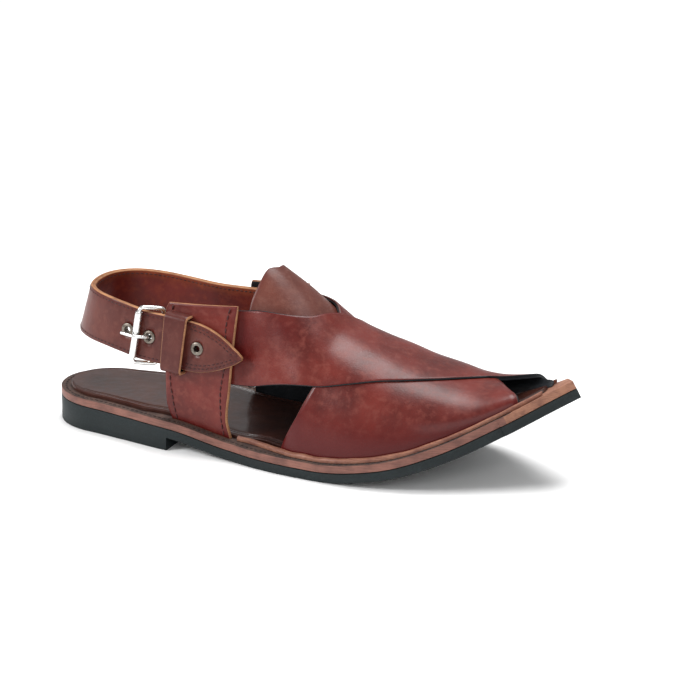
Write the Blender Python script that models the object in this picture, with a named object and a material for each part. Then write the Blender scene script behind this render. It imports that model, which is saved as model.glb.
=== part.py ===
"""Peshawari chappal, right shoe, built from the pieces that a maker puts together.

Metres, +Z up. The toe points to +X and the medial side to +Y. The origin is under the middle
of the shoe, on the floor. Heights that follow the sole are measured square to its curve.
"""
import math
from typing import NamedTuple

import bmesh
import bpy
import numpy as np

MM = 0.001

# Driving sizes of the sole
LENGTH = 295 * MM
BALL_WIDTH = 97.4 * MM
HEEL_RISE = 8.9 * MM
HEEL_BREAST = 75 * MM
HEEL_ROUND = 28 * MM
HEEL_OVERHANG = 3.2 * MM
HEEL_SQUARENESS = 2.1
TOE_SPRING = 49 * MM
OUTSOLE_THICKNESS = 5.1 * MM
MIDSOLE_THICKNESS = 4.2 * MM
INSOLE_THICKNESS = 2.0 * MM
EDGE_BEVEL = 0.8 * MM
LAYER_BEVEL = 0.3 * MM
TOE_PATCH_LENGTH = 34 * MM
TOE_PATCH_STEP = 0.8 * MM
TOE_SKEW = 8.4 * MM
CLEARANCE = 0.3 * MM

# Driving sizes of the upper
INSTEP_HEIGHT = 89 * MM
ANKLE_WIDTH = 62 * MM
LEDGE = 5.6 * MM
STRAP_WALL = 2.2 * MM
CROSSING_STEP = 1.2 * MM
TONGUE_WALL = 2.0 * MM
ANKLE_TUCK = 4.0 * MM
MEDIAL_TUCK = 4.8 * MM
RAND_WIDTH = 2.2 * MM
RAND_HEIGHT = 2.2 * MM

# Driving sizes of the ankle pieces and the back strap
QUARTER_STANDOFF = 3.9 * MM
QUARTER_WALL = 2.4 * MM
QUARTER_TOP = 79.5 * MM
QUARTER_FALL = 1.3 * MM
BACK_STRAP_WIDTH = 26.5 * MM
BACK_STRAP_THICKNESS = 3.0 * MM
BACK_STRAP_POINT = 31 * MM
KEEPER_LENGTH = 11.8 * MM
KEEPER_WALL = 1.8 * MM
KEEPER_ROOM = 2.4 * MM
KEEPER_SIDE_ROOM = 1.0 * MM
HOLE_DIAMETER = 5.4 * MM
HOLE_SPACING = 12.7 * MM
EYELET_FLANGE = 7.4 * MM
EYELET_BORE = 3.4 * MM
EYELET_PROUD = 0.6 * MM
BUCKLE_WIRE = 2.6 * MM
BUCKLE_CORNER = 2.4 * MM
BUCKLE_ROOM = 0.8 * MM
ROLLER_DIAMETER = 4.2 * MM
ROLLER_PLAY = 1.2 * MM
PRONG_DIAMETER = 2.0 * MM
PRONG_OVERHANG = 7.5 * MM
PRONG_DIP = 0.9 * MM
PRONG_SLOT_PLAY = 0.8 * MM
TAB_THICKNESS = 1.3 * MM
TAB_WIDTH = 24 * MM

# Where the pieces stand along the shoe
BUCKLE_AT = 0.1949 * LENGTH
HINGE_AT = 0.2300 * LENGTH
KEEPER_AT = 0.2515 * LENGTH
STRAP_TIP_AT = 0.4000 * LENGTH
STRAP_END_AT = 0.3491 * LENGTH
MEDIAL_END_FROM = 0.2702 * LENGTH
MEDIAL_END_HEIGHT = 62.6 * MM
STRAP_SINK = 1.1 * MM
STRAP_FALL = 6.6 * MM
SECOND_HOLE_AT = 0.2176 * LENGTH
TAB_END_AT = 0.3322 * LENGTH


class RiseRow(NamedTuple):
    """Height of the sole's underside."""
    at: float
    of_heel_rise: float
    of_toe_spring: float


RISE = (
    RiseRow(0.000, 1.00, 0.000),
    RiseRow(0.254, 0.78, 0.000),
    RiseRow(0.373, 0.16, 0.000),
    RiseRow(0.440, 0.00, 0.000),
    RiseRow(0.550, 0.00, 0.000),
    RiseRow(0.678, 0.00, 0.095),
    RiseRow(0.780, 0.00, 0.295),
    RiseRow(0.888, 0.00, 0.615),
    RiseRow(1.000, 0.00, 1.000),
)


class OutlineRow(NamedTuple):
    """Half widths of the sole, as shares of the ball width."""
    at: float
    lateral: float
    medial: float


OUTLINE = (
    OutlineRow(0.000, 0.285, 0.270),
    OutlineRow(0.075, 0.292, 0.283),
    OutlineRow(0.153, 0.337, 0.320),
    OutlineRow(0.254, 0.402, 0.362),
    OutlineRow(0.373, 0.436, 0.388),
    OutlineRow(0.508, 0.513, 0.426),
    OutlineRow(0.627, 0.541, 0.459),
    OutlineRow(0.729, 0.496, 0.440),
    OutlineRow(0.814, 0.391, 0.372),
    OutlineRow(0.888, 0.258, 0.252),
    OutlineRow(0.949, 0.132, 0.128),
    OutlineRow(1.000, 0.056, 0.070),
)


class LastRow(NamedTuple):
    """Section of the last: crest height and offset, fullness of the arch, side tuck."""
    at: float
    of_instep_height: float
    crest_of_ball: float
    fullness: float
    of_ankle_tuck: float


LAST = (
    LastRow(0.180, 1.330, 0.00, 2.10, 1.0),
    LastRow(0.254, 1.220, 0.00, 2.12, 1.0),
    LastRow(0.340, 1.115, 0.00, 2.15, 1.0),
    LastRow(0.400, 1.020, 0.00, 2.15, 1.0),
    LastRow(0.424, 0.981, 0.00, 2.15, 0.7),
    LastRow(0.475, 0.861, 0.01, 2.15, 0.2),
    LastRow(0.520, 0.737, 0.02, 2.20, 0.0),
    LastRow(0.552, 0.650, 0.03, 2.25, 0.0),
    LastRow(0.600, 0.574, 0.03, 2.30, 0.0),
    LastRow(0.654, 0.492, 0.04, 2.30, 0.0),
    LastRow(0.702, 0.404, 0.05, 2.30, 0.0),
    LastRow(0.746, 0.318, 0.06, 2.30, 0.0),
    LastRow(0.793, 0.220, 0.06, 2.30, 0.0),
    LastRow(0.837, 0.145, 0.07, 2.40, 0.0),
    LastRow(0.875, 0.100, 0.08, 2.50, 0.0),
    LastRow(0.908, 0.068, 0.09, 2.50, 0.0),
    LastRow(0.940, 0.050, 0.10, 2.50, 0.0),
)


class EdgeRow(NamedTuple):
    """Edge of a vamp strap. Round is -1 at its ankle's side, 0 on the crest, +1 at the far side."""
    along: float
    at: float
    round: float


STRAP_REAR = (
    EdgeRow(0.00, 0.352, -0.560),
    EdgeRow(0.12, 0.400, -0.485),
    EdgeRow(0.25, 0.458, -0.385),
    EdgeRow(0.36, 0.500, -0.250),
    EdgeRow(0.45, 0.532, 0.000),
    EdgeRow(0.55, 0.555, 0.170),
    EdgeRow(0.66, 0.560, 0.350),
    EdgeRow(0.76, 0.546, 0.560),
    EdgeRow(0.88, 0.520, 0.800),
    EdgeRow(1.00, 0.484, 1.000),
)

OVER_FRONT = (
    EdgeRow(0.00, 0.352, -0.835),
    EdgeRow(0.12, 0.415, -0.797),
    EdgeRow(0.25, 0.508, -0.668),
    EdgeRow(0.38, 0.587, -0.539),
    EdgeRow(0.50, 0.668, -0.388),
    EdgeRow(0.60, 0.742, -0.225),
    EdgeRow(0.70, 0.818, 0.020),
    EdgeRow(0.78, 0.882, 0.080),
    EdgeRow(0.85, 0.908, 0.240),
    EdgeRow(0.92, 0.918, 0.560),
    EdgeRow(1.00, 0.920, 1.000),
)

UNDER_FRONT = (
    EdgeRow(0.00, 0.352, -0.835),
    EdgeRow(0.12, 0.415, -0.797),
    EdgeRow(0.25, 0.508, -0.668),
    EdgeRow(0.38, 0.587, -0.539),
    EdgeRow(0.50, 0.668, -0.388),
    EdgeRow(0.60, 0.742, -0.225),
    EdgeRow(0.70, 0.805, -0.080),
    EdgeRow(0.79, 0.838, 0.030),
    EdgeRow(0.86, 0.866, 0.290),
    EdgeRow(0.93, 0.886, 0.620),
    EdgeRow(1.00, 0.893, 1.000),
)


class TongueRow(NamedTuple):
    """Half width of the tongue round the last and the place of its rear and front ends."""
    across: float
    rear_at: float
    front_at: float


TONGUE = (
    TongueRow(-0.580, 0.393, 0.520),
    TongueRow(-0.440, 0.397, 0.560),
    TongueRow(-0.300, 0.405, 0.585),
    TongueRow(-0.130, 0.412, 0.595),
    TongueRow(0.000, 0.424, 0.600),
    TongueRow(0.130, 0.421, 0.595),
    TongueRow(0.300, 0.411, 0.585),
    TongueRow(0.440, 0.397, 0.560),
    TongueRow(0.580, 0.393, 0.520),
)


class QuarterRow(NamedTuple):
    """Rear and front edge of the quarters at a share of their height."""
    of_height: float
    lateral_rear: float
    lateral_front: float
    medial_rear: float
    medial_front: float


QUARTER = (
    QuarterRow(0.00, 0.262, 0.380, 0.330, 0.448),
    QuarterRow(0.15, 0.251, 0.371, 0.328, 0.446),
    QuarterRow(0.40, 0.249, 0.376, 0.328, 0.450),
    QuarterRow(0.70, 0.247, 0.379, 0.328, 0.448),
    QuarterRow(0.95, 0.246, 0.380, 0.328, 0.446),
    QuarterRow(1.00, 0.250, 0.379, 0.331, 0.444),
)


class StrapRow(NamedTuple):
    """Middle line of the back strap, with its lean towards the ankle over its width."""
    at: float
    of_ball: float
    of_instep_height: float
    lean: float


STRAP_BACK = (
    StrapRow(0.205, -0.338, 0.685, 0.08),
    StrapRow(0.176, -0.332, 0.705, 0.09),
    StrapRow(0.136, -0.312, 0.728, 0.12),
    StrapRow(0.092, -0.252, 0.740, 0.20),
    StrapRow(0.062, -0.150, 0.742, 0.26),
    StrapRow(0.052, 0.000, 0.742, 0.28),
    StrapRow(0.062, 0.130, 0.740, 0.26),
    StrapRow(0.095, 0.222, 0.735, 0.20),
    StrapRow(0.145, 0.255, 0.728, 0.14),
    StrapRow(0.200, 0.255, 0.715, 0.10),
)


def interpolate(places, values, at):
    """Monotone cubic through the rows: flat stretches stay flat and nothing overshoots."""
    x = np.asarray(places, float)
    y = np.asarray(values, float)
    step = np.diff(x)
    slope = np.diff(y) / step
    tangent = np.zeros(len(x))
    for i in range(1, len(x) - 1):
        if slope[i - 1] * slope[i] > 0:
            first = 2 * step[i] + step[i - 1]
            second = step[i] + 2 * step[i - 1]
            tangent[i] = (first + second) / (first / slope[i - 1] + second / slope[i])
    tangent[0] = slope[0]
    tangent[-1] = slope[-1]
    q = np.clip(np.asarray(at, float), x[0], x[-1])
    k = np.clip(np.searchsorted(x, q, side="right") - 1, 0, len(step) - 1)
    t = (q - x[k]) / step[k]
    near = y[k] * (1 + 2 * t) * (1 - t) ** 2 + tangent[k] * step[k] * t * (1 - t) ** 2
    far = y[k + 1] * t * t * (3 - 2 * t) - tangent[k + 1] * step[k] * t * t * (1 - t)
    return near + far


def column(rows, name):
    """One named column of a table."""
    return [getattr(row, name) for row in rows]


def ramp(start, end, value):
    """Smooth step from 0 at start to 1 at end."""
    t = min(max((value - start) / (end - start), 0.0), 1.0)
    return t * t * (3 - 2 * t)


def underside(x):
    """Height of the sole's underside without the heel block."""
    at = np.asarray(x) / LENGTH
    heel = interpolate(column(RISE, "at"), column(RISE, "of_heel_rise"), at)
    toe = interpolate(column(RISE, "at"), column(RISE, "of_toe_spring"), at)
    return HEEL_RISE * heel + TOE_SPRING * toe


def on_sole(x, height):
    """Point at a height square above the underside, in the plane of the shoe's length."""
    behind = max(x - MM, -HEEL_OVERHANG)
    ahead = min(x + MM, LENGTH)
    angle = math.atan2(float(underside(ahead)) - float(underside(behind)), ahead - behind)
    return x - height * math.sin(angle), float(underside(x)) + height * math.cos(angle)


def half_width(x, side):
    """Half width of the sole at a station: side is -1 for lateral, +1 for medial."""
    name = "medial" if side > 0 else "lateral"
    full = BALL_WIDTH * float(interpolate(column(OUTLINE, "at"), column(OUTLINE, name), x / LENGTH))
    if x >= HEEL_ROUND:
        return full
    share = (HEEL_ROUND - x) / (HEEL_ROUND + HEEL_OVERHANG)
    return full * max(1 - share ** HEEL_SQUARENESS, 0) ** (1 / HEEL_SQUARENESS)


def sole_stations():
    """Stations from heel to toe, close together round the heel."""
    turn = 9
    reach = HEEL_ROUND + HEEL_OVERHANG
    stations = [HEEL_ROUND - reach * math.cos(math.pi / 2 * i / turn) for i in range(turn)]
    steps = 30
    stations += [HEEL_ROUND + (LENGTH - HEEL_ROUND) * i / steps for i in range(steps + 1)]
    return stations


SOLE_TOP = OUTSOLE_THICKNESS + CLEARANCE + MIDSOLE_THICKNESS
SEAT_HEIGHT = SOLE_TOP + CLEARANCE
SEAT_STEPS = 120
SEAT_STATIONS = [LENGTH * i / SEAT_STEPS for i in range(SEAT_STEPS + 1)]
SEAT = [on_sole(x, SEAT_HEIGHT) for x in SEAT_STATIONS]


def seat(x):
    """Height of the upper's seat over the midsole, and the sole's half widths, at a place."""
    places = [point[0] for point in SEAT]
    height = float(np.interp(x, places, [point[1] for point in SEAT]))
    station = float(np.interp(x, places, SEAT_STATIONS))
    return height, half_width(station, -1), half_width(station, 1)


def last_value(name, x):
    """Column of the last's table at a place."""
    return float(interpolate(column(LAST, "at"), column(LAST, name), x / LENGTH))


def last_sides(x):
    """Half widths of the last where it meets the sole."""
    _, lateral, medial = seat(x)
    ankle = last_value("of_ankle_tuck", x)
    room = LEDGE + STRAP_WALL
    lateral = max(lateral - room - ANKLE_TUCK * ankle, 2 * MM)
    medial = max(medial - room - MEDIAL_TUCK * ankle, 2 * MM)
    narrow = ANKLE_WIDTH / 2
    lateral = lateral + (min(lateral, narrow) - lateral) * ankle
    medial = medial + (min(medial, narrow) - medial) * ankle
    return lateral, medial


def last_point(x, turn):
    """Point of the last: turn is -1 at the lateral seat, 0 on the crest, +1 at the medial seat."""
    floor = seat(x)[0]
    lateral, medial = last_sides(x)
    power = 2 / last_value("fullness", x)
    angle = (1 - min(abs(turn), 1)) * math.pi / 2
    crest = BALL_WIDTH * last_value("crest_of_ball", x)
    reach = (medial - crest) if turn > 0 else -(lateral + crest)
    across = crest + reach * max(math.cos(angle), 0) ** power
    up = floor + INSTEP_HEIGHT * last_value("of_instep_height", x) * math.sin(angle) ** power
    return np.array((x, across, up))


def last_normal(x, turn):
    """Outward normal of the last."""
    dx = 0.6 * MM
    dt = 0.012
    low = max(turn - dt, -0.999)
    high = min(turn + dt, 0.999)
    along = last_point(x + dx, turn) - last_point(x - dx, turn)
    across = last_point(x, high) - last_point(x, low)
    normal = np.cross(along, across)
    return normal / np.linalg.norm(normal)


def off_last(x, turn, offset):
    """Point outside the last, kept clear of the midsole."""
    point = last_point(x, turn) + last_normal(x, turn) * offset
    point[2] = max(point[2], seat(point[0])[0])
    return point


def turn_at_height(x, height, side):
    """Turn round the last at which it has a height above its seat."""
    rise = INSTEP_HEIGHT * last_value("of_instep_height", x)
    power = 2 / last_value("fullness", x)
    angle = math.asin(min((height / rise) ** (1 / power), 1))
    return side * (1 - angle / (math.pi / 2))


def material(name, colour, roughness, metallic=0.0):
    """Principled material of one piece."""
    made = bpy.data.materials.new(name)
    made.use_nodes = True
    shader = made.node_tree.nodes["Principled BSDF"]
    shader.inputs["Base Color"].default_value = (*colour, 1)
    shader.inputs["Roughness"].default_value = roughness
    shader.inputs["Metallic"].default_value = metallic
    made.diffuse_color = (*colour, 1)
    return made


def add_object(name, verts, faces, finish, sharp=40):
    """Object made of points and faces, doubles merged, faces pointing out."""
    mesh = bpy.data.meshes.new(name)
    mesh.from_pydata([tuple(map(float, v)) for v in verts], [], faces)
    work = bmesh.new()
    work.from_mesh(mesh)
    bmesh.ops.remove_doubles(work, verts=work.verts, dist=0.002 * MM)
    bmesh.ops.dissolve_degenerate(work, edges=work.edges, dist=0.001 * MM)
    bmesh.ops.recalc_face_normals(work, faces=work.faces)
    work.to_mesh(mesh)
    work.free()
    mesh.materials.append(finish)
    mesh.shade_smooth()
    mesh.set_sharp_from_angle(angle=math.radians(sharp))
    made = bpy.data.objects.new(name, mesh)
    bpy.context.scene.collection.objects.link(made)
    return made


def loft(name, rings, finish, sharp=40, closed=False):
    """Solid through rings of equally many points. A closed loft joins its last ring to its first."""
    count = len(rings[0])
    verts = [point for ring in rings for point in ring]
    faces = []
    last = len(rings) if closed else len(rings) - 1
    for i in range(last):
        near = i * count
        far = (i + 1) % len(rings) * count
        for j in range(count):
            k = (j + 1) % count
            faces.append((near + j, near + k, far + k, far + j))
    if not closed:
        faces.append(tuple(range(count)))
        faces.append(tuple(range(len(verts) - count, len(verts))))
    return add_object(name, verts, faces, finish, sharp)


def shell(name, inner, outer, finish, sharp=40):
    """Sheet of leather between an inner and an outer grid of points."""
    rows = len(inner)
    cols = len(inner[0])
    verts = [point for row in inner for point in row] + [point for row in outer for point in row]
    top = rows * cols

    def index(i, j):
        return i * cols + j

    faces = []
    for i in range(rows - 1):
        for j in range(cols - 1):
            quad = (index(i, j), index(i, j + 1), index(i + 1, j + 1), index(i + 1, j))
            faces.append(quad)
            faces.append(tuple(top + k for k in reversed(quad)))
    border = [index(0, j) for j in range(cols)]
    border += [index(i, cols - 1) for i in range(1, rows)]
    border += [index(rows - 1, j) for j in range(cols - 2, -1, -1)]
    border += [index(i, 0) for i in range(rows - 2, 0, -1)]
    for k, here in enumerate(border):
        there = border[(k + 1) % len(border)]
        faces.append((here, there, top + there, top + here))
    return add_object(name, verts, faces, finish, sharp)


def combine(target, tool, operation):
    """Boolean of two solids, kept in the first. The second is removed."""
    step = target.modifiers.new("combine", "BOOLEAN")
    step.operation = operation
    step.solver = "EXACT"
    step.object = tool
    graph = bpy.context.evaluated_depsgraph_get()
    mesh = bpy.data.meshes.new_from_object(target.evaluated_get(graph))
    target.modifiers.clear()
    target.data = mesh
    mesh.name = target.name
    mesh.shade_smooth()
    mesh.set_sharp_from_angle(angle=math.radians(40))
    bpy.data.objects.remove(tool)
    return target


def slab_ring(x, low, high, inset, bevel, block=False):
    """Section of a sole layer at a station. The heel block reaches down to the floor."""
    ring = []
    for side in (1, -1):
        place = x if side < 0 else x - TOE_SKEW * ramp(0.80 * LENGTH, LENGTH, x)
        reach = max(half_width(place, side) - inset, 0)
        foot = side * max(reach - bevel, 0)
        if block:
            side_points = [(place, foot, 0.0), (place, side * reach, bevel)]
        else:
            foot_x, foot_z = on_sole(place, low)
            lift_x, lift_z = on_sole(place, low + bevel)
            side_points = [(foot_x, foot, foot_z), (lift_x, side * reach, lift_z)]
        top_x, top_z = on_sole(place, high)
        side_points.append((top_x, side * reach, top_z))
        ring += side_points if side > 0 else side_points[::-1]
    return ring


def build_outsole(finish):
    """Rubber unit: heel block, waist, tread and turned-up toe with its patch."""
    patch = LENGTH - TOE_PATCH_LENGTH
    rings = []
    for x in sole_stations():
        if x < HEEL_BREAST:
            rings.append(slab_ring(x, 0, OUTSOLE_THICKNESS, 0, EDGE_BEVEL, True))
    rings.append(slab_ring(HEEL_BREAST, 0, OUTSOLE_THICKNESS, 0, EDGE_BEVEL, True))
    for x in [HEEL_BREAST] + [x for x in sole_stations() if HEEL_BREAST < x < patch] + [patch]:
        rings.append(slab_ring(x, 0, OUTSOLE_THICKNESS, 0, EDGE_BEVEL))
    for x in [patch] + [x for x in sole_stations() if x > patch]:
        rings.append(slab_ring(x, 0, OUTSOLE_THICKNESS, -TOE_PATCH_STEP, EDGE_BEVEL))
    return loft("outsole", rings, finish)


def build_midsole(finish):
    """Leather layer on the rubber, with the same spliced toe."""
    patch = LENGTH - TOE_PATCH_LENGTH
    low = OUTSOLE_THICKNESS + CLEARANCE
    rings = []
    for x in [x for x in sole_stations() if x < patch] + [patch]:
        rings.append(slab_ring(x, low, SOLE_TOP, 0, LAYER_BEVEL))
    for x in [patch] + [x for x in sole_stations() if x > patch]:
        rings.append(slab_ring(x, low, SOLE_TOP, -TOE_PATCH_STEP, LAYER_BEVEL))
    return loft("midsole", rings, finish)


def insole_half(x, side):
    """Half width of the footbed: clear of the edge at the heel, inside the upper ahead of it."""
    free = half_width(x, side) - LEDGE + CLEARANCE
    place = on_sole(x, SEAT_HEIGHT)[0]
    beside_quarter = max(2 * last_value("of_ankle_tuck", place) - 1, 0)
    walls = last_sides(place)[1 if side > 0 else 0] - 1.5 * CLEARANCE
    walls += QUARTER_STANDOFF * beside_quarter
    walls -= INSOLE_THICKNESS * ramp(0.82 * LENGTH, 0.90 * LENGTH, x)
    return free + (min(walls, free) - free) * ramp(0.19 * LENGTH, 0.24 * LENGTH, x)


def build_insole(finish):
    """Footbed, its upper edge rounded off."""
    low = SEAT_HEIGHT
    high = low + INSOLE_THICKNESS
    start = LEDGE - CLEARANCE - HEEL_OVERHANG
    end = 0.945 * LENGTH
    rings = []
    turn = 8
    stations = [start + (HEEL_ROUND - start) * (1 - math.cos(math.pi / 2 * i / turn)) for i in range(turn)]
    steps = 26
    stations += [HEEL_ROUND + (end - HEEL_ROUND) * i / steps for i in range(steps + 1)]
    for x in stations:
        close = min((x - start) / (HEEL_ROUND - start), 1)
        close = math.sqrt(max(1 - (1 - close) ** 2, 0))
        left = -insole_half(max(x, HEEL_ROUND), -1) * close
        right = insole_half(max(x, HEEL_ROUND), 1) * close
        soft = max(min(EDGE_BEVEL, (right - left) / 2), 0)
        low_x, low_z = on_sole(x, low)
        side_x, side_z = on_sole(x, high - EDGE_BEVEL)
        top_x, top_z = on_sole(x, high)
        rings.append([
            (low_x, left, low_z), (low_x, right, low_z), (side_x, right, side_z),
            (top_x, right - soft, top_z), (top_x, left + soft, top_z), (side_x, left, side_z),
        ])
    return loft("insole", rings, finish)


def strap_grid(front, side, inner_step, wall):
    """Inner and outer grid of one vamp strap, from its ankle over the crest to the far side."""
    length_steps = 34
    width_steps = 12
    inner = []
    outer = []
    for i in range(length_steps + 1):
        along = i / length_steps
        rear_at = float(interpolate(column(STRAP_REAR, "along"), column(STRAP_REAR, "at"), along))
        rear_turn = float(interpolate(column(STRAP_REAR, "along"), column(STRAP_REAR, "round"), along))
        front_at = float(interpolate(column(front, "along"), column(front, "at"), along))
        front_turn = float(interpolate(column(front, "along"), column(front, "round"), along))
        inner_row = []
        outer_row = []
        for j in range(width_steps + 1):
            share = j / width_steps
            x = LENGTH * (rear_at + (front_at - rear_at) * share)
            turn = rear_turn + (front_turn - rear_turn) * share
            drawn_in = 1 - ramp(0.70, 1.0, turn)
            step = inner_step * drawn_in
            inner_row.append(off_last(x, side * turn, step))
            outer_row.append(off_last(x, side * turn, step + wall))
        inner.append(inner_row)
        outer.append(outer_row)
    return inner, outer


def build_upper(finish):
    """The two vamp straps as one hollow solid, joined where they cross."""
    under = shell("upper", *strap_grid(UNDER_FRONT, -1, 0.0, STRAP_WALL), finish)
    over = shell("over", *strap_grid(OVER_FRONT, 1, CROSSING_STEP, STRAP_WALL), finish)
    return combine(under, over, "UNION")


def build_tongue(finish):
    """Flap under both straps."""
    cols = 14
    rows = 10
    inner = []
    outer = []
    for i in range(rows + 1):
        inner_row = []
        outer_row = []
        for j in range(cols + 1):
            first = TONGUE[0].across
            turn = first + (TONGUE[-1].across - first) * j / cols
            rear = float(interpolate(column(TONGUE, "across"), column(TONGUE, "rear_at"), turn))
            front = float(interpolate(column(TONGUE, "across"), column(TONGUE, "front_at"), turn))
            x = LENGTH * (rear + (front - rear) * i / rows)
            inner_row.append(off_last(x, turn, -CLEARANCE - TONGUE_WALL))
            outer_row.append(off_last(x, turn, -CLEARANCE))
        inner.append(inner_row)
        outer.append(outer_row)
    return shell("tongue", inner, outer, finish)


def build_quarter(name, side, finish):
    """Folded ankle piece outside the straps' ends."""
    rows = 10
    cols = 6
    inner = []
    outer = []
    word = "medial" if side > 0 else "lateral"
    levels = column(QUARTER, "of_height")
    for i in range(rows + 1):
        share = i / rows
        rear = float(interpolate(levels, column(QUARTER, word + "_rear"), share))
        front = float(interpolate(levels, column(QUARTER, word + "_front"), share))
        inner_row = []
        outer_row = []
        for j in range(cols + 1):
            x = LENGTH * (rear + (front - rear) * j / cols)
            top = QUARTER_TOP - QUARTER_FALL * (1 - j / cols) - seat(x)[0]
            turn = turn_at_height(x, top * share, side)
            inner_row.append(off_last(x, turn, QUARTER_STANDOFF))
            outer_row.append(off_last(x, turn, QUARTER_STANDOFF + QUARTER_WALL))
        inner.append(inner_row)
        outer.append(outer_row)
    return shell(name, inner, outer, finish)


def build_rand(name, side, finish):
    """Thin strip along the foot of the vamp, from the quarter to the toe."""
    foot = QUARTER[0].medial_front if side > 0 else QUARTER[0].lateral_front
    start = LENGTH * (foot + 0.012)
    end = LENGTH * 0.925
    steps = 26
    rings = []
    for i in range(steps + 1):
        x = start + (end - start) * i / steps
        turn = side * 1.0
        base = last_point(x, turn)
        normal = last_normal(x, turn)
        normal[2] = 0
        normal = normal / np.linalg.norm(normal)
        ankle = last_value("of_ankle_tuck", x)
        near = STRAP_WALL + (QUARTER_STANDOFF - STRAP_WALL) * ankle + CLEARANCE
        if side > 0:
            near += CROSSING_STEP * ramp(0.60 * LENGTH, 0.86 * LENGTH, x)
        far = near + RAND_WIDTH
        ring = []
        for out, up in ((near, 0), (far, 0), (far, 0.6), (far - 0.25 * RAND_WIDTH, 1), (near, 1)):
            point = base + normal * out
            point[2] = seat(point[0])[0] + up * RAND_HEIGHT
            ring.append(point)
        rings.append(ring)
    return loft(name, rings, finish)


def strap_outside(x, extra):
    """Point beside the lateral quarter at the back strap's height, and the way up its face."""
    height = back_strap_height(x) - seat(x)[0]
    turn = turn_at_height(x, height, -1)
    point = off_last(x, turn, QUARTER_STANDOFF + QUARTER_WALL + extra)
    above = last_point(x, turn_at_height(x, height + 0.3 * BACK_STRAP_WIDTH, -1))
    below = last_point(x, turn_at_height(x, height - 0.3 * BACK_STRAP_WIDTH, -1))
    up = above - below
    return point, up / np.linalg.norm(up)


def back_strap_height(x):
    """Height of the strap's middle line along the lateral side, falling towards its tip."""
    start = STRAP_BACK[0]
    share = (x - start.at * LENGTH) / (STRAP_TIP_AT - start.at * LENGTH)
    return INSTEP_HEIGHT * start.of_instep_height - STRAP_FALL * share


def strap_line():
    """Middle line of the back strap with its up directions, tip first."""
    points = []
    ups = []
    offset = CLEARANCE + BACK_STRAP_THICKNESS / 2
    steps = 16
    rear = LENGTH * 0.262
    for i in range(steps + 1):
        x = STRAP_TIP_AT + (rear - STRAP_TIP_AT) * i / steps
        point, up = strap_outside(x, offset)
        points.append(point)
        ups.append(up)
    keys = [points[-1]]
    key_ups = [ups[-1]]
    for row in STRAP_BACK:
        keys.append(np.array((row.at * LENGTH, row.of_ball * BALL_WIDTH,
                              row.of_instep_height * INSTEP_HEIGHT)))
        inward = np.array((KEEPER_AT, 0, 0)) - keys[-1]
        inward[2] = 0
        inward = inward / np.linalg.norm(inward)
        up = np.array((0, 0, 1.0)) + row.lean * inward
        key_ups.append(up / np.linalg.norm(up))
    for x in (MEDIAL_END_FROM, STRAP_END_AT):
        height = MEDIAL_END_HEIGHT - seat(x)[0]
        turn = turn_at_height(x, height, 1)
        room = STRAP_SINK + BACK_STRAP_THICKNESS / 2
        keys.append(off_last(x, turn, QUARTER_STANDOFF - room))
        up = last_point(x, turn * 0.94) - last_point(x, turn * 1.06)
        key_ups.append(up / np.linalg.norm(up))
    chord = chord_lengths(keys)
    fine = 52
    for i in range(1, fine + 1):
        s = chord[-1] * i / fine
        points.append(spline(chord, keys, s))
        up = spline(chord, key_ups, s)
        ups.append(up / np.linalg.norm(up))
    return points, ups


def chord_lengths(keys):
    """Length of the chords from the first key point to each."""
    steps = [np.linalg.norm(b - a) for a, b in zip(keys, keys[1:])]
    return np.concatenate(([0], np.cumsum(steps)))


def spline(chord, keys, s):
    """Smooth curve through key points, by the length of their chords."""
    keys = np.asarray(keys)
    k = int(min(max(np.searchsorted(chord, s, side="right") - 1, 0), len(keys) - 2))
    before = max(k - 1, 0)
    after = min(k + 2, len(keys) - 1)
    step = chord[k + 1] - chord[k]
    start = (keys[k + 1] - keys[before]) / (chord[k + 1] - chord[before]) * step
    end = (keys[after] - keys[k]) / (chord[after] - chord[k]) * step
    t = (s - chord[k]) / step
    value = keys[k] * (1 + 2 * t) * (1 - t) ** 2 + start * t * (1 - t) ** 2
    return value + keys[k + 1] * t * t * (3 - 2 * t) - end * t * t * (1 - t)


def frame_at(x):
    """Middle of the lateral strap at a place, with its directions along, up and out."""
    points, ups = strap_line()
    best = min(range(1, len(points) - 1),
               key=lambda i: abs(points[i][0] - x) + (1 if points[i][1] > 0 else 0))
    share_from = best if points[best][0] >= x else best - 1
    a = points[share_from]
    b = points[share_from + 1]
    t = (x - a[0]) / (b[0] - a[0])
    middle = a + (b - a) * t
    up = ups[share_from] + (ups[share_from + 1] - ups[share_from]) * t
    along = (a - b) / np.linalg.norm(a - b)
    up = up - along * np.dot(up, along)
    up = up / np.linalg.norm(up)
    out = np.cross(along, up)
    if out[1] > 0:
        out = -out
    return middle, along, up, out


def hole_places():
    """Places of the four holes. The last one lies past the keeper."""
    first = SECOND_HOLE_AT - HOLE_SPACING
    past_keeper = KEEPER_AT + KEEPER_LENGTH + 0.53 * HOLE_SPACING
    return [first, SECOND_HOLE_AT, SECOND_HOLE_AT + HOLE_SPACING, past_keeper]


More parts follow.
